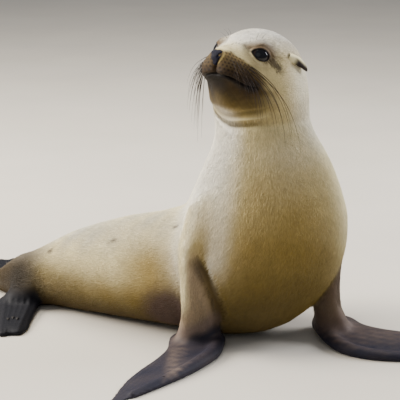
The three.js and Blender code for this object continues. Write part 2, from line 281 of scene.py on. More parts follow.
def in_head(forward, left, up):
    return HEAD_CENTRE + np.array([forward, left, up]) @ HEAD_AXES


def head_way(forward, left, up):
    return unit(np.array([forward, left, up]) @ HEAD_AXES)


def to_head(p):
    return (p - HEAD_CENTRE) @ HEAD_AXES.T


def head_oval(forward, left, up, radii):
    return oval(in_head(forward, left, up), radii, HEAD_AXES)


skull = together(
    [
        head_oval(-2, 0, -6, (70, 57, 48)),
        head_oval(-10, 0, -38, (61, 60, 60)),
        *(head_oval(18, side * 32, -26, (42, 27, 34)) for side in (1, -1)),
    ],
    26,
)
snout = together(
    [
        limb(in_head(22, 0, -11), in_head(78, 0, -14), 47, 28),
        limb(in_head(6, 0, -50), in_head(62, 0, -46), 40, 21),
        head_oval(91, 0, -4, (14, 18, 14)),
        *(head_oval(76, side * 19, -20, (25, 20, 19)) for side in (1, -1)),
    ],
    16,
)
EYE_BALL, LID = 19.0, 2.4
EYES = [(in_head(42, side * 36.7, 10), head_way(0.6, side * 0.78, 0.2), side) for side in (1, -1)]
bare_head = together([skull, snout], 40)


def lids(p):
    return np.minimum(*(np.linalg.norm(p - middle, axis=1) for middle, _, _ in EYES)) - EYE_BALL - LID


def with_lids(p):
    return melt(bare_head(p), lids(p), 8)


head = within(with_lids, (-200, -200, 330), (160, 150, 600))
print("tip of the muzzle at", in_head(105, 0, -4).round(), "mm")

# %% [markdown]
# ## Flippers
# A sea lion's hand is a long blade with a thick leading edge. It stands on it with the wrist bent back, so
# the blade lies flat on the floor. The hind feet are five long toes joined by webs.

# %% Fore flippers
HAND_FLAT = 0.18
LEFT_TILT = (0.02, -0.13, 0.99)


def sole(x, y, r):
    return (x, y, r * HAND_FLAT - 1.5, r)


def edge(points, ra, rb, steps):
    radii = np.linspace(ra, rb, len(points))
    return body([(*point, r) for point, r in zip(points, radii)], steps)


RIGHT_PALM = [
    (-112, -118, 44),
    (-118, -170, 42),
    (-142, -222, 38),
    (-168, -262, 34),
    (-192, -300, 28),
    (-212, -332, 19),
    (-230, -363, 10),
]
RIGHT_EDGE = [
    (-76, -128, 9),
    (-84, -180, 8),
    (-112, -232, 7),
    (-142, -274, 6),
    (-172, -308, 5),
    (-206, -346, 4),
]
RIGHT_ARM = [
    (-88, -94, 208, 36),
    (-100, -116, 160, 41),
    (-102, -133, 104, 37),
    (-104, -132, 56, 35),
    (-110, -126, 16, 35),
]
LEFT_PALM = [
    (126, -64, 13, 40),
    (140, -104, 12, 47),
    (176, -138, 11, 51),
    (226, -154, 10, 49),
    (280, -164, 8, 42),
    (330, -172, 5, 30),
    (364, -179, 2.5, 13),
]
LEFT_EDGE = [
    (106, -68, 12),
    (112, -116, 10),
    (134, -164, 8),
    (174, -188, 7),
    (226, -196, 6),
    (290, -198, 5),
    (348, -190, 4),
]
LEFT_ARM = [
    (104, -14, 184, 40),
    (110, -32, 140, 40),
    (107, -54, 84, 38),
    (110, -70, 44, 37),
    (122, -84, 18, 35),
]
hand_right = together(
    [body([sole(*s) for s in RIGHT_PALM], 18, HAND_FLAT), edge(RIGHT_EDGE, 12, 5, 14)], 10
)
hand_left = together([body(LEFT_PALM, 20, 0.15, LEFT_TILT), edge(LEFT_EDGE, 13, 5, 16)], 10)
arm_right = body(RIGHT_ARM, 12, 0.62, (0.35, -0.93, 0.12))
arm_left = body(LEFT_ARM, 12, 0.58, (0.93, 0.35, 0))
fore_right = within(together([arm_right, hand_right], 18), (-300, -440, -60), (10, 10, 300))
fore_left = within(together([arm_left, hand_left], 18), (30, -300, -60), (440, 90, 290))
reach = np.linalg.norm(np.subtract(RIGHT_PALM[-1][:2], RIGHT_PALM[0][:2]))
print("blade of the right hand:", round(reach), "mm from wrist to tip")

# %% Hind flippers
TOES = [144, 131, 125, 129, 138]  # lengths from the ankle, inner toe first
FOOT_RIGHT = ((-426, 66, 14), -90, -2, 11.5)  # ankle, direction in degrees, fan and gap of the toes
FOOT_LEFT = ((-440, 196, 14), 112, 5, 11)
FEET = (FOOT_RIGHT, FOOT_LEFT)
PALM_LONG = 118


def on_floor(degrees):
    return np.array([math.cos(math.radians(degrees)), math.sin(math.radians(degrees)), 0.0])


def toe(plan, i):
    """Root of one toe on the floor, and the direction in which it points."""
    ankle, way, fan, gap = plan
    out = on_floor(way + fan * (i - 2))
    return np.array(ankle, float) + np.array([-out[1], out[0], 0]) * gap * (i - 2), out


def foot(plan):
    toes = []
    for i, long in enumerate(TOES):
        root, out = toe(plan, i)
        toes.append(limb((*root[:2], 12.0), (*(root + out * long)[:2], 3.5), 15, 9.5, 0.55))
    heel = np.array(plan[0], float)
    palm = heel + on_floor(plan[1]) * PALM_LONG
    return together([*toes, limb((*heel[:2], 9), (*palm[:2], 4), 34, 30, 0.2)], 6)


shin_right = limb((-398, 104, 44), (-424, 60, 20), 40, 26, 0.85)
shin_left = limb((-408, 150, 42), (-438, 188, 20), 38, 28, 0.8)
hind_right = within(together([foot(FOOT_RIGHT), shin_right], 16), (-540, -140, -60), (-320, 200, 150))
hind_left = within(together([foot(FOOT_LEFT), shin_left], 16), (-620, 90, -60), (-330, 400, 150))
print("hind feet:", len(TOES), "toes of", min(TOES), "to", max(TOES), "mm")

# %% [markdown]
# ## One body
# The arms are joined last. High on the shoulder they melt into the chest over a wide band, and lower
# down, where a fold of skin parts the arm from the chest, the band is narrow and leaves a crease.

# %% The whole flesh
def fore(p):
    return np.minimum(fore_right(p), fore_left(p))


def hind(p):
    return np.minimum(hind_right(p), hind_left(p))


def flesh(p):
    upper = melt(torso(p), head(p), 44)
    whole = melt(upper, hind(p), 20)
    for arm in (fore_right, fore_left):
        whole = melt(whole, arm(p), mix(7.0, 34.0, smooth(p[:, 2], 120, 215)))
    return whole


sample = np.array([[0.0, -40.0, 170.0], [-11.0, -22.0, 540.0]])
print("depth inside the chest and over the head, mm:", flesh(sample).round(1))

# %% [markdown]
# ## Skin from the field
# Blender can mesh a volume, but one cell size would have to serve both the broad back and the rims of the
# eyes. So the field is sampled on a grid whose lines are closer near the floor, where the flippers are
# thin, and a net of points is drawn between inside and outside. Faces on the head, and then on the face,
# are split again and their points moved onto the surface. The skin lies under the tips of the fur by the
# depth of the coat.

# %% Depth of the coat
COAT_BODY, COAT_HEAD, COAT_FLIPPER = 2.6, 1.2, 0.3  # how deep the skin lies under the tips of the fur, mm
FLOOR = 0.3  # height of the lowest skin over the floor, mm


def coat_depth(p):
    toward_face = smooth(to_head(p)[:, 0], 0, 50) * smooth(p[:, 2], 370, 410)
    deep = mix(COAT_BODY, COAT_HEAD, np.maximum(smooth(p[:, 2], 360, 440) * 0.5, toward_face))
    return mix(COAT_FLIPPER, deep, smooth(p[:, 2], 10, 60))


def skin_field(p):
    return flesh(p) + coat_depth(p)


places = np.vstack([sample[:1], in_head(80, 0, 10)])
print("depth of the coat over the chest and the muzzle, mm:", coat_depth(places).round(1))

# %% Net of points between inside and outside
def evaluate(field, p, share=50000):
    return np.concatenate([field(p[i : i + share]) for i in range(0, len(p), share)])


def sample_grid(field, lines, reach, step=4):
    """The field on a grid, exact near the surface and rough elsewhere."""
    size = [len(line) for line in lines]
    coarse = [np.minimum(np.arange(0, n, step) + step // 2, n - 1) for n in size]
    middles = np.stack(np.meshgrid(*(line[c] for line, c in zip(lines, coarse)), indexing="ij"), -1)
    value = evaluate(field, middles.reshape(-1, 3)).reshape(middles.shape[:3])
    for axis, n in enumerate(size):
        value = np.repeat(value, step, axis).take(np.arange(n), axis)
    near = np.nonzero(np.abs(value) < reach)
    value[near] = evaluate(field, np.stack([line[i] for line, i in zip(lines, near)], 1))
    return value


def net(value, lines):
    """Points and triangles of the surface where the sampled value is nought."""
    inside = value < 0
    corner = [(c & 1, (c >> 1) & 1, c >> 2) for c in range(8)]
    cut = np.zeros([n - 1 for n in value.shape], np.int8)
    for c in corner:
        cut += inside[tuple(slice(o, o + n) for o, n in zip(c, cut.shape))]
    cells = np.array(np.nonzero((cut > 0) & (cut < 8)))
    at_corner = [value[tuple(cells[a] + c[a] for a in range(3))] for c in corner]
    total, count = np.zeros((3, cells.shape[1])), np.zeros(cells.shape[1])
    for a in range(8):
        for b in (a | 1, a | 2, a | 4):
            if b == a:
                continue
            va, vb = at_corner[a], at_corner[b]
            crossed = (va < 0) != (vb < 0)
            t = np.where(crossed, va / np.where(crossed, va - vb, 1), 0)
            for axis in range(3):
                total[axis] += crossed * mix(corner[a][axis], corner[b][axis], t)
            count += crossed
    points = np.empty((cells.shape[1], 3))
    for axis, line in enumerate(lines):
        low, high = line[cells[axis]], line[cells[axis] + 1]
        points[:, axis] = mix(low, high, total[axis] / count)
    number = np.full(cut.shape, -1)
    number[tuple(cells)] = np.arange(len(points))
    quads = []
    for axis in range(3):
        here = [slice(1, -1)] * 3
        ahead = list(here)
        ahead[axis] = slice(2, None)
        flips = np.nonzero(inside[tuple(here)] != inside[tuple(ahead)])
        at = np.array(flips) + 1
        u, w = np.eye(3, dtype=int)[(axis + 1) % 3], np.eye(3, dtype=int)[(axis + 2) % 3]
        ring = [number[tuple(at - o[:, None])] for o in (u + w, w, 0 * w, u)]
        quad = np.stack(ring, 1)
        outwards = inside[tuple(at)]
        quad[~outwards] = quad[~outwards][:, ::-1]
        quads.append(quad)
    quad = np.concatenate(quads)
    quad = quad[(quad >= 0).all(1)]
    p = points[quad]
    long = np.linalg.norm(p[:, 0] - p[:, 2], axis=1) > np.linalg.norm(p[:, 1] - p[:, 3], axis=1)
    quad[long] = np.roll(quad[long], 1, axis=1)
    return points, np.concatenate([quad[:, [0, 1, 2]], quad[:, [0, 2, 3]]])


def settle(field, p, rounds=3, probe=0.4, most=2.5):
    """Moves points onto the field's surface."""
    p = p.copy()
    for _ in range(rounds):
        d = evaluate(field, p)
        slope = np.stack([evaluate(field, p + probe * way) - d for way in np.eye(3)], 1) / probe
        steep = np.maximum((slope**2).sum(1), 0.05)
        p -= np.clip((d / steep)[:, None] * slope, -most, most)
    return p


ball_lines = (np.arange(-12.0, 13, 2),) * 3
ball = net(sample_grid(lambda p: np.linalg.norm(p, axis=1) - 10, ball_lines, 6), ball_lines)
print("a ball of 10 mm as a net:", len(ball[0]), "points and", len(ball[1]), "faces")

# %% Splitting the faces where more detail is needed
def split_faces(points, faces, chosen):
    """Splits chosen triangles in four, and their neighbours so that no gap opens."""
    pairs = np.sort(faces[:, [[0, 1], [1, 2], [2, 0]]], axis=2)
    keys, which = np.unique(pairs[..., 0] * len(points) + pairs[..., 1], return_inverse=True)
    which = which.reshape(-1, 3)
    marked = np.zeros(len(keys), bool)
    marked[which[chosen]] = True
    while True:
        partly = marked[which].sum(1) == 2
        if not partly.any():
            break
        marked[which[partly]] = True
    number = np.full(len(keys), -1)
    number[marked] = len(points) + np.arange(marked.sum())
    first, second = keys[marked] // len(points), keys[marked] % len(points)
    points = np.concatenate([points, (points[first] + points[second]) / 2])
    middle = number[which]
    count = (middle >= 0).sum(1)
    (a, b, c), (ab, bc, ca) = faces[count == 3].T, middle[count == 3].T
    out = [faces[count == 0]]
    out += [np.stack(t, 1) for t in ((a, ab, ca), (ab, b, bc), (ca, bc, c), (ab, bc, ca))]
    for side in range(3):
        one = (count == 1) & (middle[:, side] >= 0)
        a, b, c = faces[one][:, [side, (side + 1) % 3, (side + 2) % 3]].T
        m = middle[one][:, side]
        out += [np.stack((a, m, c), 1), np.stack((m, b, c), 1)]
    return points, np.concatenate(out)


def normals_of(points, faces):
    a, b, c = (points[faces[:, i]] for i in range(3))
    n = np.cross(b - a, c - a)
    total = np.zeros_like(points)
    for i in range(3):
        np.add.at(total, faces[:, i], n)
    return total / np.maximum(np.linalg.norm(total, axis=1, keepdims=True), 1e-12)


every = np.ones(len(ball[1]), bool)
print("the same ball with every face split:", len(split_faces(*ball, every)[1]), "faces")

# %% [markdown]
# The grid's lines are 6 mm apart, and closer near the floor. The whole head is split once, the face and the
# throat twice, and the rims of the eyes and the lips three times. So are the thin flippers, once, and the
# crease of the armpit, twice. The torso is a chain of short rods, and its faint rings are smoothed away.

# %% First net of the skin
CELL, MIDDLE_CELL, LOW_CELL = 6.0, 3.0, 1.5  # between the grid's lines, and closer towards the floor
REACH = 38  # how near the surface the field is worked out in full
low_lines = np.arange(-3.0, 21, LOW_CELL)
lines = (
    np.arange(-562.5, 402, CELL),
    np.arange(-402.5, 397, CELL),
    np.concatenate([low_lines, np.arange(low_lines[-1] + 3, 40, MIDDLE_CELL), np.arange(42, 545, CELL)]),
)
skin_points, skin_faces = net(sample_grid(skin_field, lines, REACH), lines)
skin_points = settle(skin_field, skin_points)
progress(f"first net: {len(skin_faces)} faces")

# %% Smooth the torso
def smoothed(values, faces, share, rounds):
    """Values at the points, each drawn towards the mean of its neighbours in every round."""
    start = np.concatenate([faces.ravel(), faces[:, [1, 2, 0]].ravel()])
    end = np.concatenate([faces[:, [1, 2, 0]].ravel(), faces.ravel()])
    count = np.maximum(np.bincount(start, minlength=len(values)), 1)
    for _ in range(rounds):
        sums = [np.bincount(start, values[end, k], len(values)) for k in range(values.shape[1])]
        values = values + (np.stack(sums, 1) / count[:, None] - values) * share[:, None]
    return values


RING_SHARE, RING_ROUNDS = 0.5, 16  # how strongly and how often the torso's points are smoothed
flippers = together([fore_right, fore_left, hind_right, hind_left], 2)
on_torso = smooth(flippers(skin_points), 4, 22)
on_torso *= smooth(skin_points[:, 2], 372, 345) * smooth(skin_points[:, 2], 3, 14) * RING_SHARE
skin_points = smoothed(skin_points, skin_faces, on_torso, RING_ROUNDS)
print(int((on_torso > 0).sum()), "points of the torso smoothed")

# %% [markdown]
# ## Places on the face
# Lids, lips and whiskers are drawn on the surface, so each needs a measure of its own: how far a point is
# from the edge of an eye's opening, or from the line between the lips. These measures are used three
# times, to choose the faces to split, to push the skin in and out, and to colour it.

# %% Edges of the eyes
EYE_TILT = (-0.71, 0.66, -0.25)  # from the inner corner of an eye to its outer corner, in the head's frame
EYE_HALF = 15.8  # half the width of the opening between the lids
EYE_OVER, EYE_UNDER = 8.9, 10.2  # how far it opens over and under the line between its corners


def eye_frame(side):
    """Middle of an eyeball, and its axes: to the outer corner, up, and out."""
    middle, out, _ = EYES[0 if side > 0 else 1]
    across = head_way(EYE_TILT[0], side * EYE_TILT[1], EYE_TILT[2])
    across = unit(across - (across @ out) * out)
    up = np.cross(out, across) * side * -1
    return middle, np.array([across, up if up[2] > 0 else -up, out])


def eye_edge(p, side):
    """Distance along the lids from the edge of an eye's opening, below nought inside it."""
    middle, axes = eye_frame(side)
    a, b, c = ((p - middle) @ axes.T).T
    high = np.where(b > 0, EYE_OVER, EYE_UNDER)
    bow = mix(1.25, 2.5, smooth(a, -12, 6))  # pointed at the inner corner, round at the outer one
    share = ((np.abs(a) / EYE_HALF) ** bow + (np.abs(b) / high) ** 1.9) ** (2 / (bow + 1.9))
    share = np.maximum(share, 1e-6)
    d = (1 - 1 / share) * np.hypot(a, b)
    return np.where(c > 0, np.maximum(d, -8), 60.0), a, b


def from_eyes(p):
    return np.minimum(eye_edge(p, 1)[0], eye_edge(p, -1)[0])


print("an eye opens", 2 * EYE_HALF, "mm wide and", round(EYE_OVER + EYE_UNDER, 1), "mm high")

# %% Nose, mouth and muzzle
def centred(h):
    """Places in the head's frame, but sideways from the muzzle's own middle, which leans near its tip."""
    f, l, u = h.T
    return np.stack([f, l - mix(-1.4, 3.8, smooth(u, 9, -8)) * smooth(f, 74, 100), u], 1)


def bridge(h):
    """How far the end of the muzzle's bridge stands up over the nose."""
    f, l, u = h.T
    return 2.2 * smooth(u, -8, 4) * np.exp(-((l / 16) ** 2)) * smooth(f, 66, 92)


def outline_of_nose(h):
    """Distance from the nose pad's outline, seen from the front: a triangle that stands on its point."""
    q = centred(h) * (0, 1, 1)
    wings = [limb((0, s * 5.8, 5.2), (0, 0, -9.5), 6.3, 2.9) for s in (1, -1)]
    return together([*wings, limb((0, -5, 5.6), (0, 5, 5.6), 5.8, 5.8)], 3)(q)


def mouth(h):
    """Angle round the muzzle from its middle, in degrees, and height over the line between the lips."""
    f, l, u = centred(h).T
    angle = np.degrees(np.arctan2(np.abs(l), f - 55))
    return angle, u + 27 + 12.5 * smooth(angle, 16, 84) + 3 * smooth(-l, 5, 22)


def muzzle_edge(h):
    """Height over the slanting line at which the brown of the muzzle ends."""
    return h[:, 2] - 13 + 0.86 * np.maximum(88 - h[:, 0], 0)


def over_neck(p):
    """Nought on the neck and one on the head."""
    return smooth(p[:, 2], 378, 398)


corner_of_mouth = to_head(in_head(58, 51, -41.5)[None])
print("the corner of the mouth lies", mouth(corner_of_mouth)[0].round(), "degrees round the muzzle")

# %% Arms and the crease beside one
def arm_share(p, field):
    """Nought on the torso and one on an arm."""
    return smooth(torso(p) - field(p), -4, 9)


def bump(x, width):
    return np.exp(-((x / width) ** 2))


ARMPIT = [
    (-106, -149, 156),
    (-99, -151, 145),
    (-90, -154, 131),
    (-77, -158, 99),
    (-71, -153, 80),
    (-66, -138, 46),
]


def from_line(points, p):
    """Distance of each point from a line drawn through a few places."""
    return body([(*point, 0.0) for point in points], 3 * len(points))(p)


print("the crease is", round(np.linalg.norm(np.diff(ARMPIT, axis=0), axis=1).sum()), "mm long")

# %% Split the faces of the head, the flippers and the crease
def on_head(p):
    return (p[:, 2] > 352) & (to_head(p)[:, 0] > -85)


def on_face(p):
    f, l, u = to_head(p).T
    return ((f > 8) & (p[:, 2] > 354)) | ((np.abs(l) > 54) & (np.abs(f + 12) < 22) & (np.abs(u - 8) < 18))


def on_rims(p):
    near_eye = from_eyes(p)
    h = to_head(p)
    angle, above = mouth(h)
    return ((near_eye < 7) & (near_eye > -7)) | ((np.abs(above) < 6) & (angle < 96) & (h[:, 0] > 50))


def on_flippers(p):
    return (p[:, 2] > 4) & (p[:, 2] < 26) & ((fore(p) < 4) | (hind(p) < 3))


def on_crease(p):
    return (from_line(ARMPIT, p) < 10) & (p[:, 2] > 36)


def split_where(points, faces, region):
    """Splits the faces whose middle lies in a region, and settles the new points."""
    old = len(points)
    points, faces = split_faces(points, faces, region(points[faces].mean(1)))
    points[old:] = settle(skin_field, points[old:], 2)
    return points, faces


for region in (on_head, on_face, on_rims, on_flippers, on_crease, on_crease):
    skin_points, skin_faces = split_where(skin_points, skin_faces, region)
    progress(f"{region.__name__}: {len(skin_faces)} faces")

# %% [markdown]
# ## Folds, lips and lids
# The field gives the masses. The finer forms are raised from it or sunk into it along the skin's normal, in
# millimetres: the line of the mouth with its full lips, the groove under the nose, the brow, two deep folds
# across the throat, the crease where the arm leaves the chest, and the ridges of the fingers and toes.

# %% Lines on the body
def throat_folds(h):
    """Heights over the crease below the jaw and over the roll under it, and how far in front a point is."""
    f, l, u = h.T
    crease = u + 87.5 - 0.0046 * l * l
    roll = u + 96.5 - 0.005 * (l - 10) ** 2
    sway = 0.9 * np.sin(0.11 * l + 1)
    return crease + sway, roll + 0.7 * sway, smooth(f, 20, 50) * smooth(u, -150, -120)


throat = np.array([[60.0, 0, -90]])
print("heights over the two folds at the throat, mm:", *(v.round(1) for v in throat_folds(throat)[:2]))

# %% Places on the hands
PALMS = {
    "right": np.array([(x, y, 0, r) for x, y, r in RIGHT_PALM], float),
    "left": np.array([(x, y, 0, r) for x, y, _, r in LEFT_PALM], float),
}


def on_palm(p, hand):
    """Share of the way from wrist to tip, and of the way from the blade's middle to its edge."""
    palm = PALMS[hand]
    least, share, side = np.full(len(p), np.inf), np.zeros(len(p)), np.zeros(len(p))
    for i, (a, b) in enumerate(zip(palm[:-1], palm[1:])):
        ab = (b - a)[:2]
        x = p[:, :2] - a[:2]
        t = np.clip(x @ ab / (ab @ ab), 0, 1)
        x = x - t[:, None] * ab
        away = np.hypot(*x.T)
        nearer = away < least
        least = np.where(nearer, away, least)
        share = np.where(nearer, (i + t) / (len(palm) - 1), share)
        turn = np.sign(x[:, 1] * ab[0] - x[:, 0] * ab[1]) * away / mix(a[3], b[3], t)
        side = np.where(nearer, turn, side)
    return share, side


FINGERS = (-0.62, -0.28, 0.06, 0.4, 0.72)  # ridges of the fingers, as shares of the way to the blade's edge
knuckle = np.array([[-142.0, -222, 8]])
print("a knuckle's shares along the hand and across it:", *(v.round(2) for v in on_palm(knuckle, "right")))

# %% Relief of the muzzle
def muzzle_relief(p, h):
    f, l, u = h.T
    side = np.abs(l)
    angle, above = mouth(h)
    muzzle = smooth(f, 48, 60) * (p[:, 2] > 380)
    lips = smooth(angle, 98, 84) * muzzle
    out = -3.4 * bump(above, 1.6) * lips
    out += (1.5 * bump(above - 5, 3.6) + 0.3 * bump(above + 4, 2.8)) * lips
    out -= 1.8 * bump(above + 11, 6) * lips
    corner = np.linalg.norm(np.stack([f - 58, side - 51, u + 41.5], 1), axis=1)
    out -= 2.6 * bump(corner, 3.2)
    groove = centred(h)[:, 1]
    out -= 3.2 * bump(groove, 2.6) * smooth(u, -8, -13) * smooth(above, -1, 1) * muzzle
    out -= 1.6 * bump(groove, 6.0) * smooth(u, 2, -10) * smooth(above, -4, 1) * muzzle
    out += bridge(h) * muzzle
    out += 1.4 * bump(np.hypot(side - 22, u + 17), 12) * muzzle  # whisker pads
    return out


lip = in_head(90, 12, -27)[None]
print("relief between the lips, mm:", muzzle_relief(lip, to_head(lip)).round(1))

# %% Relief of the lids, the throat and the flippers
def lid_relief(p):
    out = np.zeros(len(p))
    for s in (1, -1):
        away, a, b = eye_edge(p, s)
        out += 0.8 * bump(np.hypot(a / 1.6, b - 19), 6.5) * (away < 30)  # brow
        out -= 0.8 * bump(np.hypot(a + 24, (b + 1) * 0.8), 8) * (away < 30)  # hollow before the eye
        out -= 0.9 * bump(away - 5.4, 1.5) * smooth(b, 0, 5)  # crease of the upper lid
        out -= 0.6 * bump(away - 4.6, 1.5) * smooth(b, 0, -5)
        out += 0.8 * bump(away - 2.2, 1.8)
    return out


def fold_relief(p, h):
    crease, roll, front = throat_folds(h)
    out = front * (-4.2 * bump(crease, 2.6) - 2.2 * bump(crease + 4.5, 3.5) + 1.2 * bump(crease - 9, 7))
    out += front * (2.6 * bump(roll, 2.1) - 2.6 * bump(roll + 9, 5.5))
    line = from_line(ARMPIT, p)
    return out + smooth(p[:, 2], 30, 60) * (-3.4 * bump(line, 5.0) + 0.8 * bump(line - 10, 5))


def flipper_relief(p):
    out = np.zeros(len(p))
    for hand, field in (("right", fore_right), ("left", fore_left)):
        share, lateral = on_palm(p, hand)
        blade = smooth(field(p), 4, 1) * smooth(p[:, 2], 30, 16) * smooth(share, 0.03, 0.2)
        ridges = sum(bump(lateral - finger, 0.085) for finger in FINGERS)
        out += blade * (0.75 * ridges - 0.3) * smooth(share, 1.02, 0.85) * smooth(share, 0.1, 0.6)
    foot_top = smooth(hind(p), 4, 1) * smooth(p[:, 2], 34, 20)
    bones = np.zeros(len(p))
    for plan in FEET:
        for i in range(len(TOES)):
            root, way = toe(plan, i)
            along, beside = (p - root) @ way, (p - root) @ np.cross(UP, way)
            bones = np.maximum(bones, bump(beside, 4.2) * smooth(along, 8, 30))
    return out + foot_top * (1.7 * bones - 0.7)


def relief(p):
    """How far the finer forms stand out of the flesh, in millimetres."""
    h = to_head(p)
    return muzzle_relief(p, h) + lid_relief(p) + fold_relief(p, h) + flipper_relief(p)


amounts = relief(skin_points)
print("relief from", amounts.min().round(1), "to", amounts.max().round(1), "mm")

# %% Lids, and the finished skin
LID_BLEND = 10.0  # how far round the opening the skin slopes in to the eye, mm


def lift_lids(p):
    """Turns the skin in over each eyeball at the edge of its opening."""
    for side in (1, -1):
        middle, _ = eye_frame(side)
        away = eye_edge(p, side)[0]
        ray = p - middle
        reach = np.linalg.norm(ray, axis=1)
        near = (away < LID_BLEND) & (reach < 40)
        rim = mix(EYE_BALL - 1.9, EYE_BALL + 1.5, smooth(away, -1.3, 1.0))
        wanted = mix(rim, reach, smooth(away, 0.8, LID_BLEND))
        p[near] = (middle + ray * (wanted / reach)[:, None])[near]
    return p


skin_normals = normals_of(skin_points, skin_faces)
smooth_points = skin_points.copy()
skin_points = skin_points + amounts[:, None] * skin_normals
skin_points = lift_lids(skin_points)
skin_points[:, 2] = np.maximum(skin_points[:, 2], FLOOR)
progress("relief done")

# %% [markdown]
# ## Ears
# A sea lion, unlike a true seal, has ears that show: small rolled leaves that point back and down. Each is
# made from rings: an arc for the outside of the leaf and a smaller one for the inside, which narrow to the
# tip. The open side faces down and forward, and the root is sunk in the skin.

# %% Rings joined to each other
def ring_faces(rings, around):
    """Triangles that join each ring of points to the next, all the way round."""
    ring, place = np.mgrid[: rings - 1, :around]
    a, b = ring * around + place, ring * around + (place + 1) % around
    return np.stack([a, b, b + around, a, b + around, a + around], -1).reshape(-1, 3)


print("a tube of 3 rings of 6 points has", len(ring_faces(3, 6)), "triangles")

# %% Ears
EAR_ROOT, EAR_TIP = (0, 61, 16), (-37, 77.5, -1)  # in the head's frame, for the left ear
EAR_RADIUS, EAR_WALL = 9.8, 1.1
EAR_ARC = math.radians(118)  # half of the arc that the rolled leaf covers


def ear(side, rings=22, across=15):
    """Points and faces of one ear, and how pale each point is."""
    root, tip = (in_head(f, side * l, u) for f, l, u in (EAR_ROOT, EAR_TIP))
    along = unit(tip - root)
    back = head_way(-0.1, side * 0.55, 1)
    ridge = unit(back - along * (back @ along))
    beside = np.cross(along, ridge)
    turns = np.linspace(-EAR_ARC, EAR_ARC, across)
    points, pale = [], []
    for i in range(rings):
        t = i / (rings - 1)
        wide = EAR_RADIUS * (0.1 + 0.9 * max(math.sin(math.pi * (0.32 + 0.68 * t)), 0) ** 0.5)
        middle = mix(root, tip, t) + ridge * 3.2 * math.sin(math.pi * t) - ridge * 1.5 * t
        wall = min(EAR_WALL, wide * 0.45)
        for radius, order in ((wide, turns), (wide - wall, turns[::-1])):
            for turn in order:
                swell = 1 + 0.16 * math.sin(3 * turn + 5 * t)
                way = ridge * math.cos(turn) * 0.8 + beside * math.sin(turn) * swell
                points.append(middle + radius * way)
                # painted highlight: the top of the rolled leaf is painted pale; the root is pale fur
                ridge_highlight = smooth(abs(turn), 1.1, 0.4) * smooth(t, 0.95, 0.6)
                pale.append(max(smooth(t, 0.42, 0.15), ridge_highlight) * (radius == wide))
    ring = 2 * across
    ends = []
    for base, flip in ((0, True), ((rings - 1) * ring, False)):
        for j in range(across - 1):
            a, b, c, d = base + j, base + j + 1, base + ring - 2 - j, base + ring - 1 - j
            ends += [(a, c, b), (a, d, c)] if flip else [(a, b, c), (a, c, d)]
    points, faces = np.array(points), np.concatenate([ring_faces(rings, ring), ends])
    a, b, c = (points[faces[:, k]] for k in range(3))
    if (np.cross(a, b) * c).sum() - (np.cross(b - a, c - a) @ root).sum() < 0:
        faces = faces[:, ::-1]
    return points, faces, np.array(pale)


ear_pale = []
ear_points = np.zeros(len(skin_points), bool)
for side in (1, -1):
    points, faces, pale = ear(side)
    skin_faces = np.concatenate([skin_faces, faces + len(skin_points)])
    skin_points = np.concatenate([skin_points, points])
    smooth_points = np.concatenate([smooth_points, points])
    ear_pale.extend(pale)
    ear_points = np.concatenate([ear_points, np.ones(len(points), bool)])
print("skin with ears:", len(skin_points), "points,", len(skin_faces), "faces")

# %% From points to a piece
def new_piece(name, points, faces):
    """A mesh object from points in the drawing's millimetres."""
    mesh = bpy.data.meshes.new(name)
    points = (np.asarray(points) + FRAME_SHIFT) * MM
    mesh.vertices.add(len(points))
    mesh.vertices.foreach_set("co", points.astype(np.float32).ravel())
    faces = np.asarray(faces)
    mesh.loops.add(faces.size)
    mesh.loops.foreach_set("vertex_index", faces.astype(np.int32).ravel())
    mesh.polygons.add(len(faces))
    mesh.polygons.foreach_set("loop_start", np.arange(len(faces), dtype=np.int32) * faces.shape[1])
    mesh.update(calc_edges=True)
    mesh.polygons.foreach_set("use_smooth", np.ones(len(mesh.polygons), bool))
    return in_scene(name, mesh)


def set_attribute(mesh, name, kind, values):
    field = {"FLOAT_COLOR": "color", "FLOAT_VECTOR": "vector", "FLOAT": "value"}[kind]
    attribute = mesh.attributes.new(name, kind, "POINT")
    attribute.data.foreach_set(field, np.ascontiguousarray(values, np.float32).ravel())


skin = new_piece("skin", skin_points, skin_faces)
print("skin spans", [round(v, 3) for v in skin.dimensions], "m")

# %% [markdown]
# ## Markings
# The colours are worked out from where a point lies on the animal, by one function that serves the skin
# and every tuft of fur, so that the two always agree. Each marking is a soft mask: the brown muzzle, the
# halo and the tear stain round the eye, the golden belly, the dark hands. Some masks paint light and shade
# into the colour too: painted shade low down, underneath, in the creases and on the chin, and painted
# highlights on the edges that face the lamps.

# %% Colours
def linear(code):
    """A colour from a web code, in the linear light that shaders work in."""
    c = np.array([int(code[i : i + 2], 16) for i in (0, 2, 4)]) / 255
    return np.where(c <= 0.04045, c / 12.92, ((c + 0.055) / 1.055) ** 2.4)


CREAM = linear("e0d5a9")
PALE = linear("e8e4d8")
GOLD = linear("987e34")
DEEP_GOLD = linear("5a4b20")
CHEEK = linear("ad9961")
GREY = linear("b4b0a6")
MUZZLE_TAN = linear("6a5631")
MUZZLE = linear("332617")
LIP = linear("100b09")
CHIN = linear("44350f")
HALO = linear("5c4a33")
ARM_TAN = linear("9a876c")
ARM_BROWN = linear("4a3b31")
HAND = linear("171a2a")
WRIST = linear("70615a")
FOOT = linear("0d0d13")
MAUVE = linear("4c3a36")
SHIN = linear("463820")
ANKLE = linear("120e07")
EAR_DARK = linear("201816")
print("the lightest colour's linear parts:", PALE.round(2))

# %% Helpers for markings
SCARS = [
    ((-369, 61, 107), 6.6, 1.0),
    ((-249, -28, 152), 5, 0.9),
    ((-262, -24, 148), 4, 0.7),
    ((-145, -77, 191), 5, 0.9),
    ((-150, -70, 204), 4, 0.7),
    ((-178, -62, 196), 4.5, 0.9),
    ((-186, -58, 190), 3.5, 0.7),
]


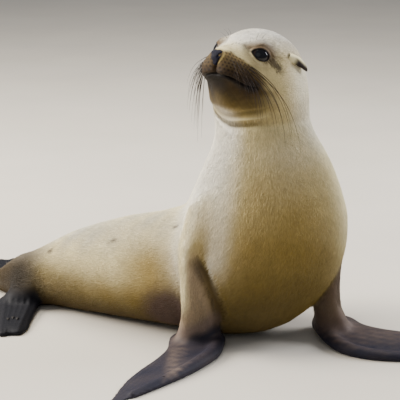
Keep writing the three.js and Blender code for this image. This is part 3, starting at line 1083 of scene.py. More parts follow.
def wave(p, size, seed):
    """Slow, smooth variation between -1 and 1."""
    rng = np.random.default_rng(seed)
    total = np.zeros(len(p))
    for _ in range(5):
        way = rng.normal(size=3)
        total += np.sin(p @ way * (2.2 / size) + rng.uniform(0, 6.28))
    return total / 5


def from_middle(p, middle, radii):
    """How far out in an oval each point lies: nought at its middle and one at its edge."""
    return np.linalg.norm((p - middle) / radii, axis=1)


def root_dots(h):
    """Dark dots at the roots of the whiskers, in rows along each side of the muzzle."""
    f, l, u = h.T
    row = (u + 27 + 0.34 * (104 - f)) / 5.4
    step = (104 - f + 0.5 * np.abs(l)) / 6 + 0.5 * (np.round(row) % 2)
    return smooth(np.hypot((row - np.round(row)) * 5.4, (step - np.round(step)) * 6), 2.3, 0.9)


class Canvas:
    """Points of the skin with the measures that markings share, and their colour so far."""

    def __init__(self, p, n):
        self.p, self.n, self.h = p, n, to_head(p)
        self.patchy, self.fine, self.finest = wave(p, 60, 3), wave(p, 9, 5), wave(p, 3.2, 8)
        self.colour = np.tile(CREAM, (len(p), 1))

    def paint(self, other, share):
        self.colour = self.colour + (other - self.colour) * np.clip(share, 0, 1)[:, None]

    def vary(self, amount):
        """Makes the colour lighter or darker by a share of itself."""
        self.colour = self.colour * (1 + amount)[:, None]


def show(painter, place, way):
    """Prints what one painter makes of the plain cream at a place."""
    canvas = Canvas(np.array([place], float), np.array([way], float))
    painter(canvas)
    print(painter.__name__, "at", np.round(place), "gives", canvas.colour[0].round(2))


print("unpainted:", CREAM.round(2))

# %% Body: gold in front, painted shade below, grey back with painted sheen, painted highlights on the edges
def paint_body(canvas):
    paint, patchy = canvas.paint, canvas.patchy
    (x, y, z), (nx, ny, nz) = canvas.p.T, canvas.n.T
    front = smooth(nx * 0.15 - ny * 0.98, 0.3, 1.02)
    trunk = smooth(x, -110, -190)
    chest = 1 - trunk
    # below: downward-facing skin; the gold and deep gold laid on it are painted shade on the underside
    below = smooth(-nz, -0.25, 0.7)
    paint(GOLD, front * smooth(z, 440, 265) * chest * (0.9 + 0.1 * patchy))
    paint(GOLD, trunk * smooth(z, 150, 45) * (0.75 + 0.2 * patchy) + below * chest)
    paint(GOLD, smooth(np.hypot(x + 185, 1.3 * (z - 128)), 80, 10) * smooth(-ny, 0, 0.6) * 0.4)
    paint(GOLD, trunk * smooth(x, -260, -170) * smooth(nz, 0.9, 0.3) * smooth(z, 200, 120) * 0.8)
    # deep gold lower down: partly the belly's own colour, partly painted shade towards the floor
    paint(DEEP_GOLD, smooth(z, 265, 40) * chest * (0.25 + 0.6 * front) + 0.3 * below)
    paint(DEEP_GOLD, trunk * smooth(z, 105, 35) * 0.65)
    paint(DEEP_GOLD, smooth(x, -270, -350) * smooth(z, 115, 50) * 0.6)
    # painted shade where the chest meets the floor
    paint(SHIN, chest * smooth(z, 75, 12) * 0.6)
    # painted highlights: the right-facing side of the neck, and upward-facing skin on the animal's left
    # side
    paint(PALE, smooth(nx, 0.45, 0.9) * smooth(z, 300, 350) * 0.6)
    paint(PALE, smooth(nz, 0.35, 0.95) * 0.6 * smooth(x, -60, 60))
    paint(GOLD, chest * smooth(z, 150, 50) * smooth(ny, -0.2, 0.3) * 0.75)
    # painted highlight: the edge of the chest turned towards the left lamp is painted pale
    lamp_side_highlight = smooth(-nx, 0.3, 0.75) * smooth(ny, 0.3, -0.1)
    paint(PALE, lamp_side_highlight * chest * smooth(z, 60, 160) * 0.95)
    # grey on the upward-facing back: partly its own grey, partly painted sheen of the sky
    paint(GREY, trunk * smooth(nz, 0.2, 0.95) * (0.5 + 0.4 * patchy))
    # painted shade where the trunk meets the floor
    paint(SHIN, trunk * smooth(z, 60, 14) * 0.75)


show(paint_body, (0, -180, 170), (0, -1, 0))

# %% Painted shade between arm and belly, the shins and the scars
def paint_patches(canvas):
    paint, p = canvas.paint, canvas.p
    x, y, z = p.T
    # painted shade in mauve brown, in the hollow between the right arm and the belly
    arm_belly_shade = from_middle(p, (-150, -104, 42), (50, 66, 54))
    paint(MAUVE, smooth(arm_belly_shade + 0.1 * canvas.fine, 1.4, 0.6) * 0.9)
    shin = smooth(x - 0.3 * (y - 120), -340, -415)
    paint(SHIN, shin * (0.75 + 0.25 * smooth(z, 105, 40)))
    paint(ANKLE, shin * smooth(z, 96, 56) * smooth(y, 150, 90) * 0.75)
    for place, size, share in SCARS:
        mark = from_middle(p, place, (size * 2.4, size, size))
        paint(ARM_BROWN, smooth(mark + 0.35 * canvas.finest, 1.2, 0.3) * share)


show(paint_patches, (-150, -104, 42), (0, -1, 0))

# %% Arms, hands and feet
# field, direction of the outer side, where a painted highlight runs, height of the wrist, how dark the arm
# is
ARMS = [(fore_right, (-0.93, -0.35), 40, 0.06), (fore_left, (0.25, 0.97), 30, 0.75)]


def paint_hand(canvas, field, wrist, dark):
    paint, p, fine, patchy = canvas.paint, canvas.p, canvas.fine, canvas.patchy
    x, y, z = p.T
    hand = smooth(field(p), 6, 1)
    cuff = wrist + 0.45 * (1 - dark) * np.clip(x + 113, -30, 30)
    paint(mix(WRIST, ARM_BROWN, dark), hand * smooth(z, cuff + 24, cuff - 2) * 0.85)
    blade = np.maximum(smooth(z + 4 * fine, cuff - 2, cuff - 24), smooth(x + 8 * patchy, -135, -165))
    paint(HAND, hand * smooth(z, 60, 40) * blade * (0.9 + 0.1 * patchy))
    dusty = hand * smooth(canvas.n[:, 2], 0.3, 0.9) * smooth(z, 14, 30)
    paint(WRIST, dusty * (0.55 + 0.3 * wave(p, 24, 9) + 0.2 * fine))


def paint_limbs(canvas):
    paint, p = canvas.paint, canvas.p
    (x, y, z), (nx, ny, _) = p.T, canvas.n.T
    for field, outer, wrist, dark in ARMS:
        arm = arm_share(p, field)
        paint(ARM_TAN, arm * smooth(z, 190, 130) * 0.92)
        lower = smooth(z, 165 + 60 * dark, 70 + 60 * dark)
        paint(ARM_BROWN, arm * lower * (dark + 0.1 * canvas.patchy))
        paint(ARM_BROWN, arm * smooth(z, 210, 130) * smooth(z, 60, 110) * 0.8 * dark)
        # painted shade on the side of the arm turned to the animal's left, mostly on the right arm where it
        # faces the chest
        paint(ARM_BROWN, arm * smooth(nx, 0.0, 0.7) * smooth(z, 215, 150) * 0.6 * (1 - dark))
        # painted highlight along the outer side of each arm
        rim = smooth(nx * outer[0] + ny * outer[1], 0.5, 0.95)
        paint(CREAM, arm * rim * smooth(z, 50, 95) * 0.85)
        paint_hand(canvas, field, wrist, dark)
    line = from_line(ARMPIT, p)
    across, _, heights = np.array(ARMPIT)[::-1].T
    arm_side = smooth(x - np.interp(z, heights, across), 2, -6)
    # painted shade in the crease between the right arm and the chest, and on the arm beside it
    paint(MUZZLE, smooth(line, 27, 7) * arm_side * smooth(z, 170, 140) * 0.75)
    paint(MUZZLE, bump(line, 6) * 0.5 * smooth(z, 30, 60))
    paint(FOOT, smooth(hind(p), 5, 1) * smooth(z, 52, 26))


show(paint_limbs, (-192, -300, 5), (0, 0, 1))

# %% Head: pale cheeks and a grey crown
def paint_crown(canvas):
    paint, p, patchy = canvas.paint, canvas.p, canvas.patchy
    (f, _, u), on = canvas.h.T, over_neck(p)
    paint(CHEEK, smooth(f, -25, 30) * smooth(u, 30, 0) * smooth(u, -100, -60) * 0.6)
    paint(PALE, smooth(u, 12, 36) * smooth(p[:, 2], 430, 470) * (0.8 + 0.2 * patchy))
    crown = smooth(u, -5, 12) * smooth(u, 52, 34) * smooth(f, 45, 20) * on
    paint(CHEEK, crown * (0.42 + 0.15 * patchy))
    paint(GREY, smooth(u, 20, 46) * (0.3 + 0.35 * wave(p, 7, 11)) * on)


show(paint_crown, in_head(0, 0, 40), (0, 0, 1))

# %% Muzzle, jaw and lips
# places in the head's frame of a few brown streaks over the nose
STREAKS = [(72.6, 3.4, 23), (67.7, 7.1, 26.3), (66, 12, 26.5), (60, 9, 30)]


def paint_muzzle(canvas):
    paint, p, h = canvas.paint, canvas.p, canvas.h
    (f, l, u), on = h.T, over_neck(p)
    angle, above = mouth(h)
    muzzle = muzzle_edge(h) + 1.6 * canvas.fine
    behind = smooth(f, 32, 58)
    lower = smooth(above, -16, -5)
    paint(MUZZLE_TAN, smooth(muzzle, 1, -6) * behind * lower * on * 0.95)
    dark = smooth(muzzle, -3, -22) * 0.75 + smooth(above, 16, 4) * 0.5
    paint(MUZZLE, dark * smooth(muzzle, 0, -6) * smooth(f, 40, 62) * lower * on)
    jaw = smooth(above, 3, -6) * smooth(f, 14, 55) * on
    paint(CHIN, jaw * smooth(u, -100, -76) * 0.92)
    # painted shade on the front of the chin: dark brown, and near-black towards its middle
    paint(MUZZLE, jaw * smooth(above, -44, -10) * smooth(f, 40, 66) * 0.8)
    paint(LIP, jaw * smooth(above, -46, -12) * smooth(l, 34, 8) * smooth(f, 52, 76) * 0.9)
    lips = bump(above + 2.2, 5.4 + 2 * smooth(angle, 25, 60)) * smooth(angle, 97, 86) * on
    paint(LIP, lips * smooth(f, 48, 60))
    both_sides = np.stack([f, np.abs(l), u], 1)
    corner = from_middle(both_sides, (60, 51, -41), (1.25, 1, 1))
    paint(LIP, smooth(corner + canvas.fine, 9, 3) * 0.9)
    grain = np.maximum(smooth(muzzle, 1, -6) * behind, smooth(above, 0, -6) * smooth(f, 30, 60)) * on
    canvas.vary(grain * (0.24 * wave(p, 1.9, 21) + 0.16 * wave(p, 4.5, 22)))
    paint(LIP, root_dots(h) * smooth(muzzle, 0, -4) * smooth(f, 62, 74) * smooth(above, 0, 6) * 0.75)
    wing = bump(outline_of_nose(h) - 1.9, 1.1) * smooth(l, 1, 5) * smooth(f, 84, 94) * smooth(u, -13, -8)
    paint(CHEEK, wing * smooth(u, 9, 5) * 0.7)
    for streak in STREAKS:
        away = from_middle(h, streak, (3.2, 1.3, 2))
        paint(ARM_BROWN, smooth(away + 0.3 * canvas.finest, 1.3, 0.4) * 0.6)


show(paint_muzzle, in_head(90, 20, -20), (0, 0, 1))

# %% Eyes and throat
def paint_eyes(canvas):
    """Bare dark lids, a brown halo, and a dark stain behind and below."""
    paint, fine = canvas.paint, canvas.fine
    for s in (1, -1):
        away, a, b = eye_edge(canvas.p, s)
        near = away < 40
        halo = smooth(away + 3 * fine, 20 + 9 * smooth(b, 0, 7), 3)
        paint(HALO, halo * (0.55 + 0.45 * smooth(b, -3, 7)) * near)
        stain = np.hypot((a - 26) / 16, (b + 5 + 0.25 * (a - 23)) / 9) + 0.5 * fine + 0.7 * canvas.finest
        paint(MUZZLE, smooth(stain, 1.5, 0.45) * 0.86 * near)
        tear = np.hypot((a + 19) / 5, (b + 1) / 3)
        paint(MUZZLE, smooth(tear, 1.3, 0.3) * 0.7 * near)
        paint(CREAM, bump(away - 4.2, 1.3) * smooth(b, 1, -5) * smooth(a, 12, 2) * 0.5 * near)
        paint(LIP, smooth(away, 3.0, 1.4) * near)


def paint_throat(canvas):
    crease, roll, near = throat_folds(canvas.h)
    # painted shade in and below the folds, and a painted highlight along the roll between them
    shade = bump(crease + 4, 5) + 0.9 * bump(roll + 8, 7)
    canvas.paint(DEEP_GOLD, shade * near * 0.75)
    canvas.paint(CREAM, bump(roll - 0.5, 1.8) * near * 0.3)


show(paint_eyes, in_head(52, 46, 8), (0, 0, 1))

# %% The whole coat's colour
PAINTERS = (paint_body, paint_patches, paint_limbs, paint_crown, paint_muzzle, paint_eyes, paint_throat)


def coat_colour(p, n):
    """Colour and bareness of the skin at points p with outward directions n."""
    canvas = Canvas(p, n)
    for painter in PAINTERS:
        painter(canvas)
    canvas.vary(0.05 * wave(p, 24, 17) + 0.045 * canvas.fine + 0.03 * canvas.finest)
    angle, above = mouth(canvas.h)
    flipper = np.maximum(smooth(fore(p), 5, 1), smooth(hind(p), 5, 1))
    lip = 0.12 * bump(above, 2.2) * smooth(angle, 97, 86) * (canvas.h[:, 0] > 50)
    bare = np.maximum(smooth(p[:, 2], 44, 20) * flipper, lip)
    return np.clip(canvas.colour, 0.002, 1), bare


print("colour of the chest:", coat_colour(sample[:1], -UP[None])[0].round(2))

# %% [markdown]
# ## The lie of the coat
# Fur lies from the nose to the tail and from the shoulder to the hand. The direction is taken from the
# nearest stretch of the body's own spine, so it turns with the body as real fur does. The same spine gives
# a straightened copy of each point's place, in which the grain of the fur runs along one axis.

# %% Spine
SPINE_STEPS = 60
spine_share = np.arange(SPINE_STEPS + 1) / SPINE_STEPS
spine = curve_points([s[:3] for s in TORSO_STATIONS], spine_share)
spine_size = curve_sizes([s[3] for s in TORSO_STATIONS], spine_share)
spine_length = np.concatenate([[0], np.cumsum(np.linalg.norm(np.diff(spine, axis=0), axis=1))])
spine_way = np.gradient(spine, axis=0)
spine_way /= np.linalg.norm(spine_way, axis=1, keepdims=True)
spine_side = np.zeros_like(spine)
spine_side[0] = unit(np.cross(spine_way[0], (0, 1, 0)))
for i in range(1, SPINE_STEPS + 1):
    turned = spine_side[i - 1] - spine_way[i] * (spine_side[i - 1] @ spine_way[i])
    spine_side[i] = unit(turned)
spine_up = np.cross(spine_way, spine_side)
print("spine:", round(spine_length[-1]), "mm long")

# %% Lie of the fur
def on_spine(p):
    """Length along the spine, offsets across it, and the spine's direction, for each point."""
    least = np.full(len(p), np.inf)
    index = np.zeros(len(p))
    for i in range(SPINE_STEPS):
        ab = spine[i + 1] - spine[i]
        x = p - spine[i]
        t = np.clip(x @ ab / (ab @ ab), 0, 1)
        away = np.linalg.norm(x - t[:, None] * ab, axis=1) - mix(spine_size[i], spine_size[i + 1], t)
        nearer = away < least
        least = np.where(nearer, away, least)
        index = np.where(nearer, i + t, index)
    low = np.minimum(index.astype(int), SPINE_STEPS - 1)
    t = (index - low)[:, None]

    def at(values):
        return mix(values[low], values[low + 1], t)

    offset = p - at(spine)
    across = np.stack([(offset * at(spine_side)).sum(1), (offset * at(spine_up)).sum(1)], 1)
    length = mix(spine_length[low], spine_length[low + 1], t[:, 0])
    beyond = (offset * at(spine_way)).sum(1)
    return length + beyond, across, at(spine_way)


def lie_of_coat(p, n):
    """Direction in which the fur lies, and the straightened place that its grain follows."""
    length, across, way = on_spine(p)
    h = to_head(p)
    headward = smooth(p[:, 2], 372, 425)[:, None]
    from_nose = unit_rows(h - (112, 0, 6)) @ HEAD_AXES
    way = mix(way, from_nose, headward)
    for field, wrist in ((fore_right, (-106, -132, 30)), (fore_left, (118, -80, 26))):
        arm = smooth(torso(p) - field(p), -6, 10)[:, None]
        way = mix(way, unit_rows(np.array(wrist) - p + (0, 0, -20)), arm)
    way = way - n * (way * n).sum(1, keepdims=True)
    grain = np.concatenate([across, length[:, None]], 1)
    return unit_rows(way), grain


print("the fur of the back lies along", lie_of_coat(np.array([[-215.0, 28, 180]]), UP[None])[0].round(2))

# %% Put the lie and the colours on the skin
skin_normals = normals_of(skin_points, skin_faces)
smooth_normals = normals_of(smooth_points, skin_faces)
skin_colour, skin_bare = coat_colour(smooth_points, smooth_normals)
skin_colour[ear_points] = mix(EAR_DARK, CREAM, np.array(ear_pale)[:, None])
skin_lie, skin_grain = lie_of_coat(smooth_points, smooth_normals)
skin_lie = unit_rows(smoothed(skin_lie, skin_faces, np.full(len(skin_lie), 0.6), 25))

skin_rgba = np.column_stack([skin_colour, np.ones(len(skin_colour))])
set_attribute(skin.data, "colour", "FLOAT_COLOR", skin_rgba)
set_attribute(skin.data, "bare", "FLOAT", skin_bare)
set_attribute(skin.data, "grain", "FLOAT_VECTOR", skin_grain * MM)
FLESH_NODES = [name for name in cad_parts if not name.startswith("eye_") and name != "nose"]
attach(skin, "root")
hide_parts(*FLESH_NODES)
progress("skin made")

# %% [markdown]
# ## Materials
# Short fur that lies flat looks like fine streaks along the lie, so the coat's material stretches its noise
# along the grain and uses it three times: to break the colour, to change the gloss and to raise a small
# bump. Bare skin on the hands and lips is smoother and wrinkled instead. One material does both, led by a
# mark on the skin, so no line shows where fur ends.

# %% Helpers for nodes
def new_material(name):
    material = bpy.data.materials.new(name)
    material.use_nodes = True
    tree = material.node_tree
    return material, tree, tree.nodes["Principled BSDF"]


def fill(tree, node, inputs):
    """Gives each input a number, or joins it to another node's output."""
    for key, value in inputs.items():
        if isinstance(value, bpy.types.NodeSocket):
            tree.links.new(value, node.inputs[key])
        else:
            node.inputs[key].default_value = value


def add(tree, kind, inputs=None, **settings):
    """A new node of a kind, with its settings and inputs."""
    node = tree.nodes.new(kind)
    for key, value in settings.items():
        setattr(node, key, value)
    fill(tree, node, inputs or {})
    return node


def attribute(tree, name, output):
    return add(tree, "ShaderNodeAttribute", attribute_name=name).outputs[output]


def noise(tree, vector, scale, detail=3.0, roughness=0.55):
    inputs = {"Vector": vector, "Scale": scale, "Detail": detail, "Roughness": roughness}
    return add(tree, "ShaderNodeTexNoise", inputs).outputs["Fac"]


def place_of(tree):
    return add(tree, "ShaderNodeTexCoord").outputs["Object"]


def product(tree, a, b):
    return add(tree, "ShaderNodeMath", {0: a, 1: b}, operation="MULTIPLY").outputs[0]


def ranged(tree, value, low, high, to_low, to_high):
    inputs = {"Value": value, "From Min": low, "From Max": high, "To Min": to_low, "To Max": to_high}
    return add(tree, "ShaderNodeMapRange", inputs).outputs["Result"]


def stretched(tree, vector, scale):
    return add(tree, "ShaderNodeMapping", {"Vector": vector, "Scale": scale}).outputs["Vector"]


def shaded(tree, colour, amount):
    """Colour made lighter and darker by a number near one."""
    inputs = {0: colour, "Scale": amount}
    return add(tree, "ShaderNodeVectorMath", inputs, operation="SCALE").outputs["Vector"]


trial, trial_tree, _ = new_material("trial")
ranged(trial_tree, noise(trial_tree, place_of(trial_tree), 10), 0.3, 0.7, 0, 1)
print("a trial material has", len(trial_tree.nodes), "nodes and", len(trial_tree.links), "links")
bpy.data.materials.remove(trial)

# %% Helpers for colours and heights
def rgba(code):
    return (*linear(code), 1)


def add_colour(tree, code):
    node = add(tree, "ShaderNodeRGB")
    node.outputs[0].default_value = rgba(code)
    return node.outputs[0]


def blended(tree, share, a, b):
    """A number between two, by share."""
    return add(tree, "ShaderNodeMix", {"Factor": share, "A": a, "B": b}).outputs["Result"]


def two_tones(tree, share, first, second):
    """A colour between two, by share."""
    inputs = {"Factor": share, "A": rgba(first), "B": rgba(second)}
    return add(tree, "ShaderNodeMix", inputs, data_type="RGBA").outputs["Result"]


def raised(tree, height, strength, distance):
    """A normal that follows small heights."""
    inputs = {"Height": height, "Strength": strength, "Distance": distance}
    return add(tree, "ShaderNodeBump", inputs).outputs["Normal"]


print("a mid grey in linear light:", np.round(rgba("808080"), 3))

# %% Coat and bare skin
def coat_material():
    material, tree, shader = new_material("short_fur")
    grain, place = attribute(tree, "grain", "Vector"), place_of(tree)
    bare = attribute(tree, "bare", "Fac")
    hairs = noise(tree, stretched(tree, grain, (1, 1, 0.14)), 620, 2)
    locks = noise(tree, stretched(tree, grain, (1, 1, 0.3)), 170, 3)
    blotches = noise(tree, place, 28, 3)
    wrinkles = noise(tree, stretched(tree, place, (1, 1, 1.6)), 330, 4, 0.65)
    light = ranged(tree, hairs, 0.3, 0.7, 0.93, 1.07)
    for value in (locks, blotches):
        light = product(tree, light, ranged(tree, value, 0.3, 0.7, 0.95, 1.05))
    fur_gloss = ranged(tree, locks, 0.3, 0.7, 0.62, 0.76)
    bare_gloss = ranged(tree, wrinkles, 0.3, 0.7, 0.48, 0.66)
    halves = {0: product(tree, hairs, 0.5), 1: product(tree, locks, 0.5)}
    fur_height = add(tree, "ShaderNodeMath", halves, operation="ADD").outputs[0]
    fill(tree, shader, {
        "Base Color": shaded(tree, attribute(tree, "colour", "Color"), light),
        "Roughness": blended(tree, bare, fur_gloss, bare_gloss),
        "Specular IOR Level": 0.15,
        "Normal": raised(tree, blended(tree, bare, fur_height, wrinkles), 0.55, 0.0009),
    })
    return material


short_fur = coat_material()
skin.data.materials.append(short_fur)
print("short fur:", len(short_fur.node_tree.nodes), "nodes")

# %% [markdown]
# ## Eyes
# A sea lion's eye is nearly all pupil by day as well: a large dark ball with a thin brown iris, wet and
# strongly curved. The ball is turned on a lathe, so to say, round the line of sight, with the cornea
# standing a little proud of it.

# %% Eyeballs
def eyeball(side, rings=40, around=56):
    middle, axes = eye_frame(side)
    points = [middle + axes[2] * (EYE_BALL + 0.45)]
    for i in range(1, rings):
        turn = math.pi * i / rings
        cornea = 0.45 * math.exp(-((turn / 0.55) ** 4))
        radius = EYE_BALL - 0.15 + cornea
        for j in range(around):
            a = 2 * math.pi * j / around
            flat = radius * math.sin(turn)
            points.append(middle + radius * math.cos(turn) * axes[2]
                          + flat * (math.cos(a) * axes[0] + math.sin(a) * axes[1]))
    points.append(middle - axes[2] * EYE_BALL)
    faces = [(0, 1 + j, 1 + (j + 1) % around) for j in range(around)]
    last = len(points) - 1
    faces += [(last, last - around + (j + 1) % around, last - around + j) for j in range(around)]
    faces = np.concatenate([faces, 1 + ring_faces(rings - 1, around)[:, ::-1]])
    handed = np.linalg.det(axes) > 0
    return np.array(points), faces if handed else faces[:, ::-1]


print("an eyeball has", len(eyeball(1)[1]), "faces")

# %% Wet eyes
IRIS_STOPS = [(0.46, "07070c"), (0.52, "1b120e"), (0.66, "24170f"), (0.74, "0a0808"), (0.9, "171213")]


def eye_material():
    material, tree, shader = new_material("wet_eye")
    iris_noise = noise(tree, stretched(tree, attribute(tree, "iris", "Vector"), (9, 1.2, 1)), 2.2, 4)
    ramp = add(tree, "ShaderNodeValToRGB", {"Fac": attribute(tree, "sight", "Fac")})
    stops = ramp.color_ramp.elements
    stops[0].position, stops[0].color = 0.0, rgba("05050a")
    stops[1].position, stops[1].color = 1.0, rgba("4a3a30")
    for place, code in IRIS_STOPS:
        stops.new(place).color = rgba(code)
    fill(tree, shader, {
        "Base Color": shaded(tree, ramp.outputs["Color"], ranged(tree, iris_noise, 0.3, 0.7, 0.6, 1.5)),
        "Roughness": ranged(tree, iris_noise, 0.3, 0.7, 0.05, 0.09),
        "Coat Weight": 0.2,
        "Coat Roughness": 0.03,
        "Specular IOR Level": 0.26,
    })
    return material


wet_eye = eye_material()
for side, name in ((1, "left"), (-1, "right")):
    points, faces = eyeball(side)
    eye = new_piece(f"eyeball_{name}", points, faces)
    middle, axes = eye_frame(side)
    place = (points - middle) @ axes.T
    turn = np.arctan2(np.hypot(place[:, 0], place[:, 1]), place[:, 2])
    round_sight = np.arctan2(place[:, 1], place[:, 0])
    iris = np.stack([np.cos(round_sight), turn, np.sin(round_sight)], 1)
    set_attribute(eye.data, "sight", "FLOAT", turn / 1.1)
    set_attribute(eye.data, "iris", "FLOAT_VECTOR", iris)
    eye.data.materials.append(wet_eye)
    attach(eye, "root")
    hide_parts(f"eye_{name}")
progress("eyes made")

# %% [markdown]
# ## Nose
# The nose pad is bare, finely pebbled leather. It follows the tip of the muzzle, stands a little over a
# millimetre off the skin, and narrows from the two nostrils down to the groove of the upper lip. It is cut
# from a field again: the flesh a little grown, inside an outline, less two curved slits.

# %% Nose pad
def nostril(side):
    places = [(112, 3.4, -6.5, 1.0), (111, 5.8, -2.6, 1.4), (108, 8.4, 1.6, 1.7), (103, 10.2, 5.8, 1.3)]
    return body([(f, side * l, u, r) for f, l, u, r in places], 12)


nostrils = [nostril(1), nostril(-1)]


def nose_field(p):
    h = to_head(p)
    pad = -melt(-(flesh(p) - 0.1 - bridge(h)), -outline_of_nose(h), 2.2)
    pad = np.maximum(pad, 84 - h[:, 0])
    holes = np.minimum(*(hole(centred(h)) for hole in nostrils))
    return -melt(-pad, holes, 1.4)


nose_middle = in_head(100, 0, 0)
nose_lines = tuple(np.arange(c - 22, c + 22, 0.75) for c in nose_middle)
nose_points, nose_faces = net(sample_grid(nose_field, nose_lines, 6), nose_lines)
nose_points = settle(nose_field, nose_points, 2, 0.2, 0.6)
nose = new_piece("nose_pad", nose_points, nose_faces)
print("nose pad:", len(nose_faces), "faces")

# %% Nose leather
def nose_material():
    material, tree, shader = new_material("nose_leather")
    place = place_of(tree)
    pebbles = add(tree, "ShaderNodeTexVoronoi", {"Vector": place, "Scale": 900})
    dust = noise(tree, place, 160, 4)
    fill(tree, shader, {
        "Base Color": two_tones(tree, ranged(tree, dust, 0.35, 0.7, 0, 1), "080819", "121222"),
        "Roughness": ranged(tree, dust, 0.3, 0.7, 0.48, 0.64),
        "Specular IOR Level": 0.1,
        "Normal": raised(tree, pebbles.outputs["Distance"], 0.5, 0.0004),
    })
    return material


nose.data.materials.append(nose_material())
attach(nose, "root")
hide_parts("nose")
progress("nose made")

# %% [markdown]
# ## Claws
# The hind feet end in long flaps of skin, and the claws of the three middle toes sit well back on them.
# Each claw is a small curved wedge, swept along an arc and pressed flat.

# %% Claws on the hind toes
CLAW_LONG, CLAW_WIDE, CLAW_HIGH = 12.0, 3.8, 2.2
CLAW_BACK = 34  # from the tip of a toe back to its claw


def claw(at, way, rings=9, around=10):
    """Points and faces of one claw that starts at a place and points along a direction on the floor."""
    beside = np.cross(UP, way)
    points = []
    for i in range(rings):
        t = i / (rings - 1)
        wide = CLAW_WIDE * (1 - t) ** 0.6 * min(1, 0.55 + 2 * t)
        middle = at + way * CLAW_LONG * t + np.array([0, 0, CLAW_HIGH * math.sin(2.6 * t) - 0.4])
        for j in range(around):
            a = 2 * math.pi * j / around
            rise = 0.55 * CLAW_HIGH * (1.05 - t) * math.sin(a)
            points.append(middle + beside * wide * math.cos(a) + (0, 0, rise))
    last = (rings - 1) * around
    ends = []
    for j in range(1, around - 1):
        ends += [(0, j + 1, j), (last, last + j, last + j + 1)]
    return np.array(points), np.concatenate([ring_faces(rings, around), ends])


def skin_height(x, y):
    """Height of the skin over a place on the floor."""
    heights = np.linspace(0, 40, 161)
    values = skin_field(np.column_stack([np.full_like(heights, x), np.full_like(heights, y), heights]))
    inside = heights[values < 0]
    return inside.max() if len(inside) else 0.0


claw_points, claw_faces, total = [], [], 0
for plan in FEET:
    for i in (1, 2, 3):
        root, out = toe(plan, i)
        at = root + out * (TOES[i] - CLAW_BACK)
        at[2] = skin_height(at[0], at[1])
        points, faces = claw(at, out)
        claw_points.append(points)
        claw_faces.append(faces + total)
        total += len(points)
claws = new_piece("claws", np.concatenate(claw_points), np.concatenate(claw_faces))
print("claws:", len(claw_faces), "with", len(claws.data.polygons), "faces in all")

# %% Claw horn
def claw_material():
    material, tree, shader = new_material("claw_horn")
    bands = noise(tree, stretched(tree, place_of(tree), (1, 0.3, 1)), 520, 3)
    fill(tree, shader, {
        "Base Color": shaded(tree, add_colour(tree, "1e1a17"), ranged(tree, bands, 0.3, 0.7, 0.7, 1.4)),
        "Roughness": ranged(tree, bands, 0.3, 0.7, 0.45, 0.6),
        "Specular IOR Level": 0.25,
    })
    return material


claws.data.materials.append(claw_material())
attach(claws, "root")
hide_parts("hind_flipper_left", "hind_flipper_right")
progress("claws made")

# %% [markdown]
# ## Whiskers
# Some thirty long whiskers a side grow in rows from the muzzle, longest behind, and a few from the brow.
# Each leaves the skin sideways and then hangs. Their paths are drawn as lines of points, and a small
# Geometry Nodes tree gives each line its thickness.

# %% Helpers for node trees
def node_tree(name, *inputs):
    """An empty tree with named inputs: (name, socket type, value)."""
    tree = bpy.data.node_groups.new(name, "GeometryNodeTree")
    tree.interface.new_socket("Geometry", in_out="INPUT", socket_type="NodeSocketGeometry")
    for label, kind, value in inputs:
        socket = tree.interface.new_socket(label, in_out="INPUT", socket_type=kind)
        if value is not None:
            socket.default_value = value
    tree.interface.new_socket("Geometry", in_out="OUTPUT", socket_type="NodeSocketGeometry")
    return tree, tree.nodes.new("NodeGroupInput").outputs, tree.nodes.new("NodeGroupOutput").inputs


def grown(name, source, tree, **values):
    """The plain mesh that a tree makes of a source piece, as a new piece."""
    modifier = source.modifiers.new(name, "NODES")
    modifier.node_group = tree
    for socket in tree.interface.items_tree:
        if socket.in_out == "INPUT" and socket.name in values:
            modifier[socket.identifier] = values[socket.name]
    evaluated = source.evaluated_get(bpy.context.evaluated_depsgraph_get())
    mesh = bpy.data.meshes.new_from_object(evaluated)
    mesh.name = name
    bpy.data.objects.remove(source)
    return in_scene(name, mesh)


def named(tree, name, kind="FLOAT"):
    """The value that a mark on the mesh holds."""
    node = add(tree, "GeometryNodeInputNamedAttribute", {"Name": name}, data_type=kind)
    return node.outputs["Attribute"]


def finish_tree(tree, geometry, given, result):
    """Makes instances real, gives them the material and ends the tree."""
    real = add(tree, "GeometryNodeRealizeInstances", {"Geometry": geometry}).outputs["Geometry"]
    paint = add(tree, "GeometryNodeSetMaterial", {"Geometry": real, "Material": given["Material"]})
    tree.links.new(paint.outputs["Geometry"], result["Geometry"])


def whisker_tree():
    tree, given, result = node_tree(
        "whiskers",
        ("Sides", "NodeSocketInt", 6),
        ("Material", "NodeSocketMaterial", None),
    )
    thick = named(tree, "thick")
    path = add(tree, "GeometryNodeMeshToCurve", {"Mesh": given["Geometry"]}).outputs["Curve"]
    sized = add(tree, "GeometryNodeSetCurveRadius", {"Curve": path, "Radius": thick})
    ring = add(tree, "GeometryNodeCurvePrimitiveCircle", {"Resolution": given["Sides"], "Radius": 1.0})
    tube = add(tree, "GeometryNodeCurveToMesh", {
        "Curve": sized.outputs["Curve"],
        "Profile Curve": ring.outputs["Curve"],
        "Scale": thick,
        "Fill Caps": True,
    })
    finish_tree(tree, tube.outputs["Mesh"], given, result)
    return tree


whisker_maker = whisker_tree()
print("whisker tree:", len(whisker_maker.nodes), "nodes")

# %% How a whisker hangs
WHISKER_STEPS = 16


def on_surface(starts, ways):
    """Where lines from outside the head meet the skin."""
    p = np.array(starts, float)
    for _ in range(24):
        p = p + np.array(ways) * np.clip(skin_field(p), -4, 60)[:, None] * 0.9
    return p


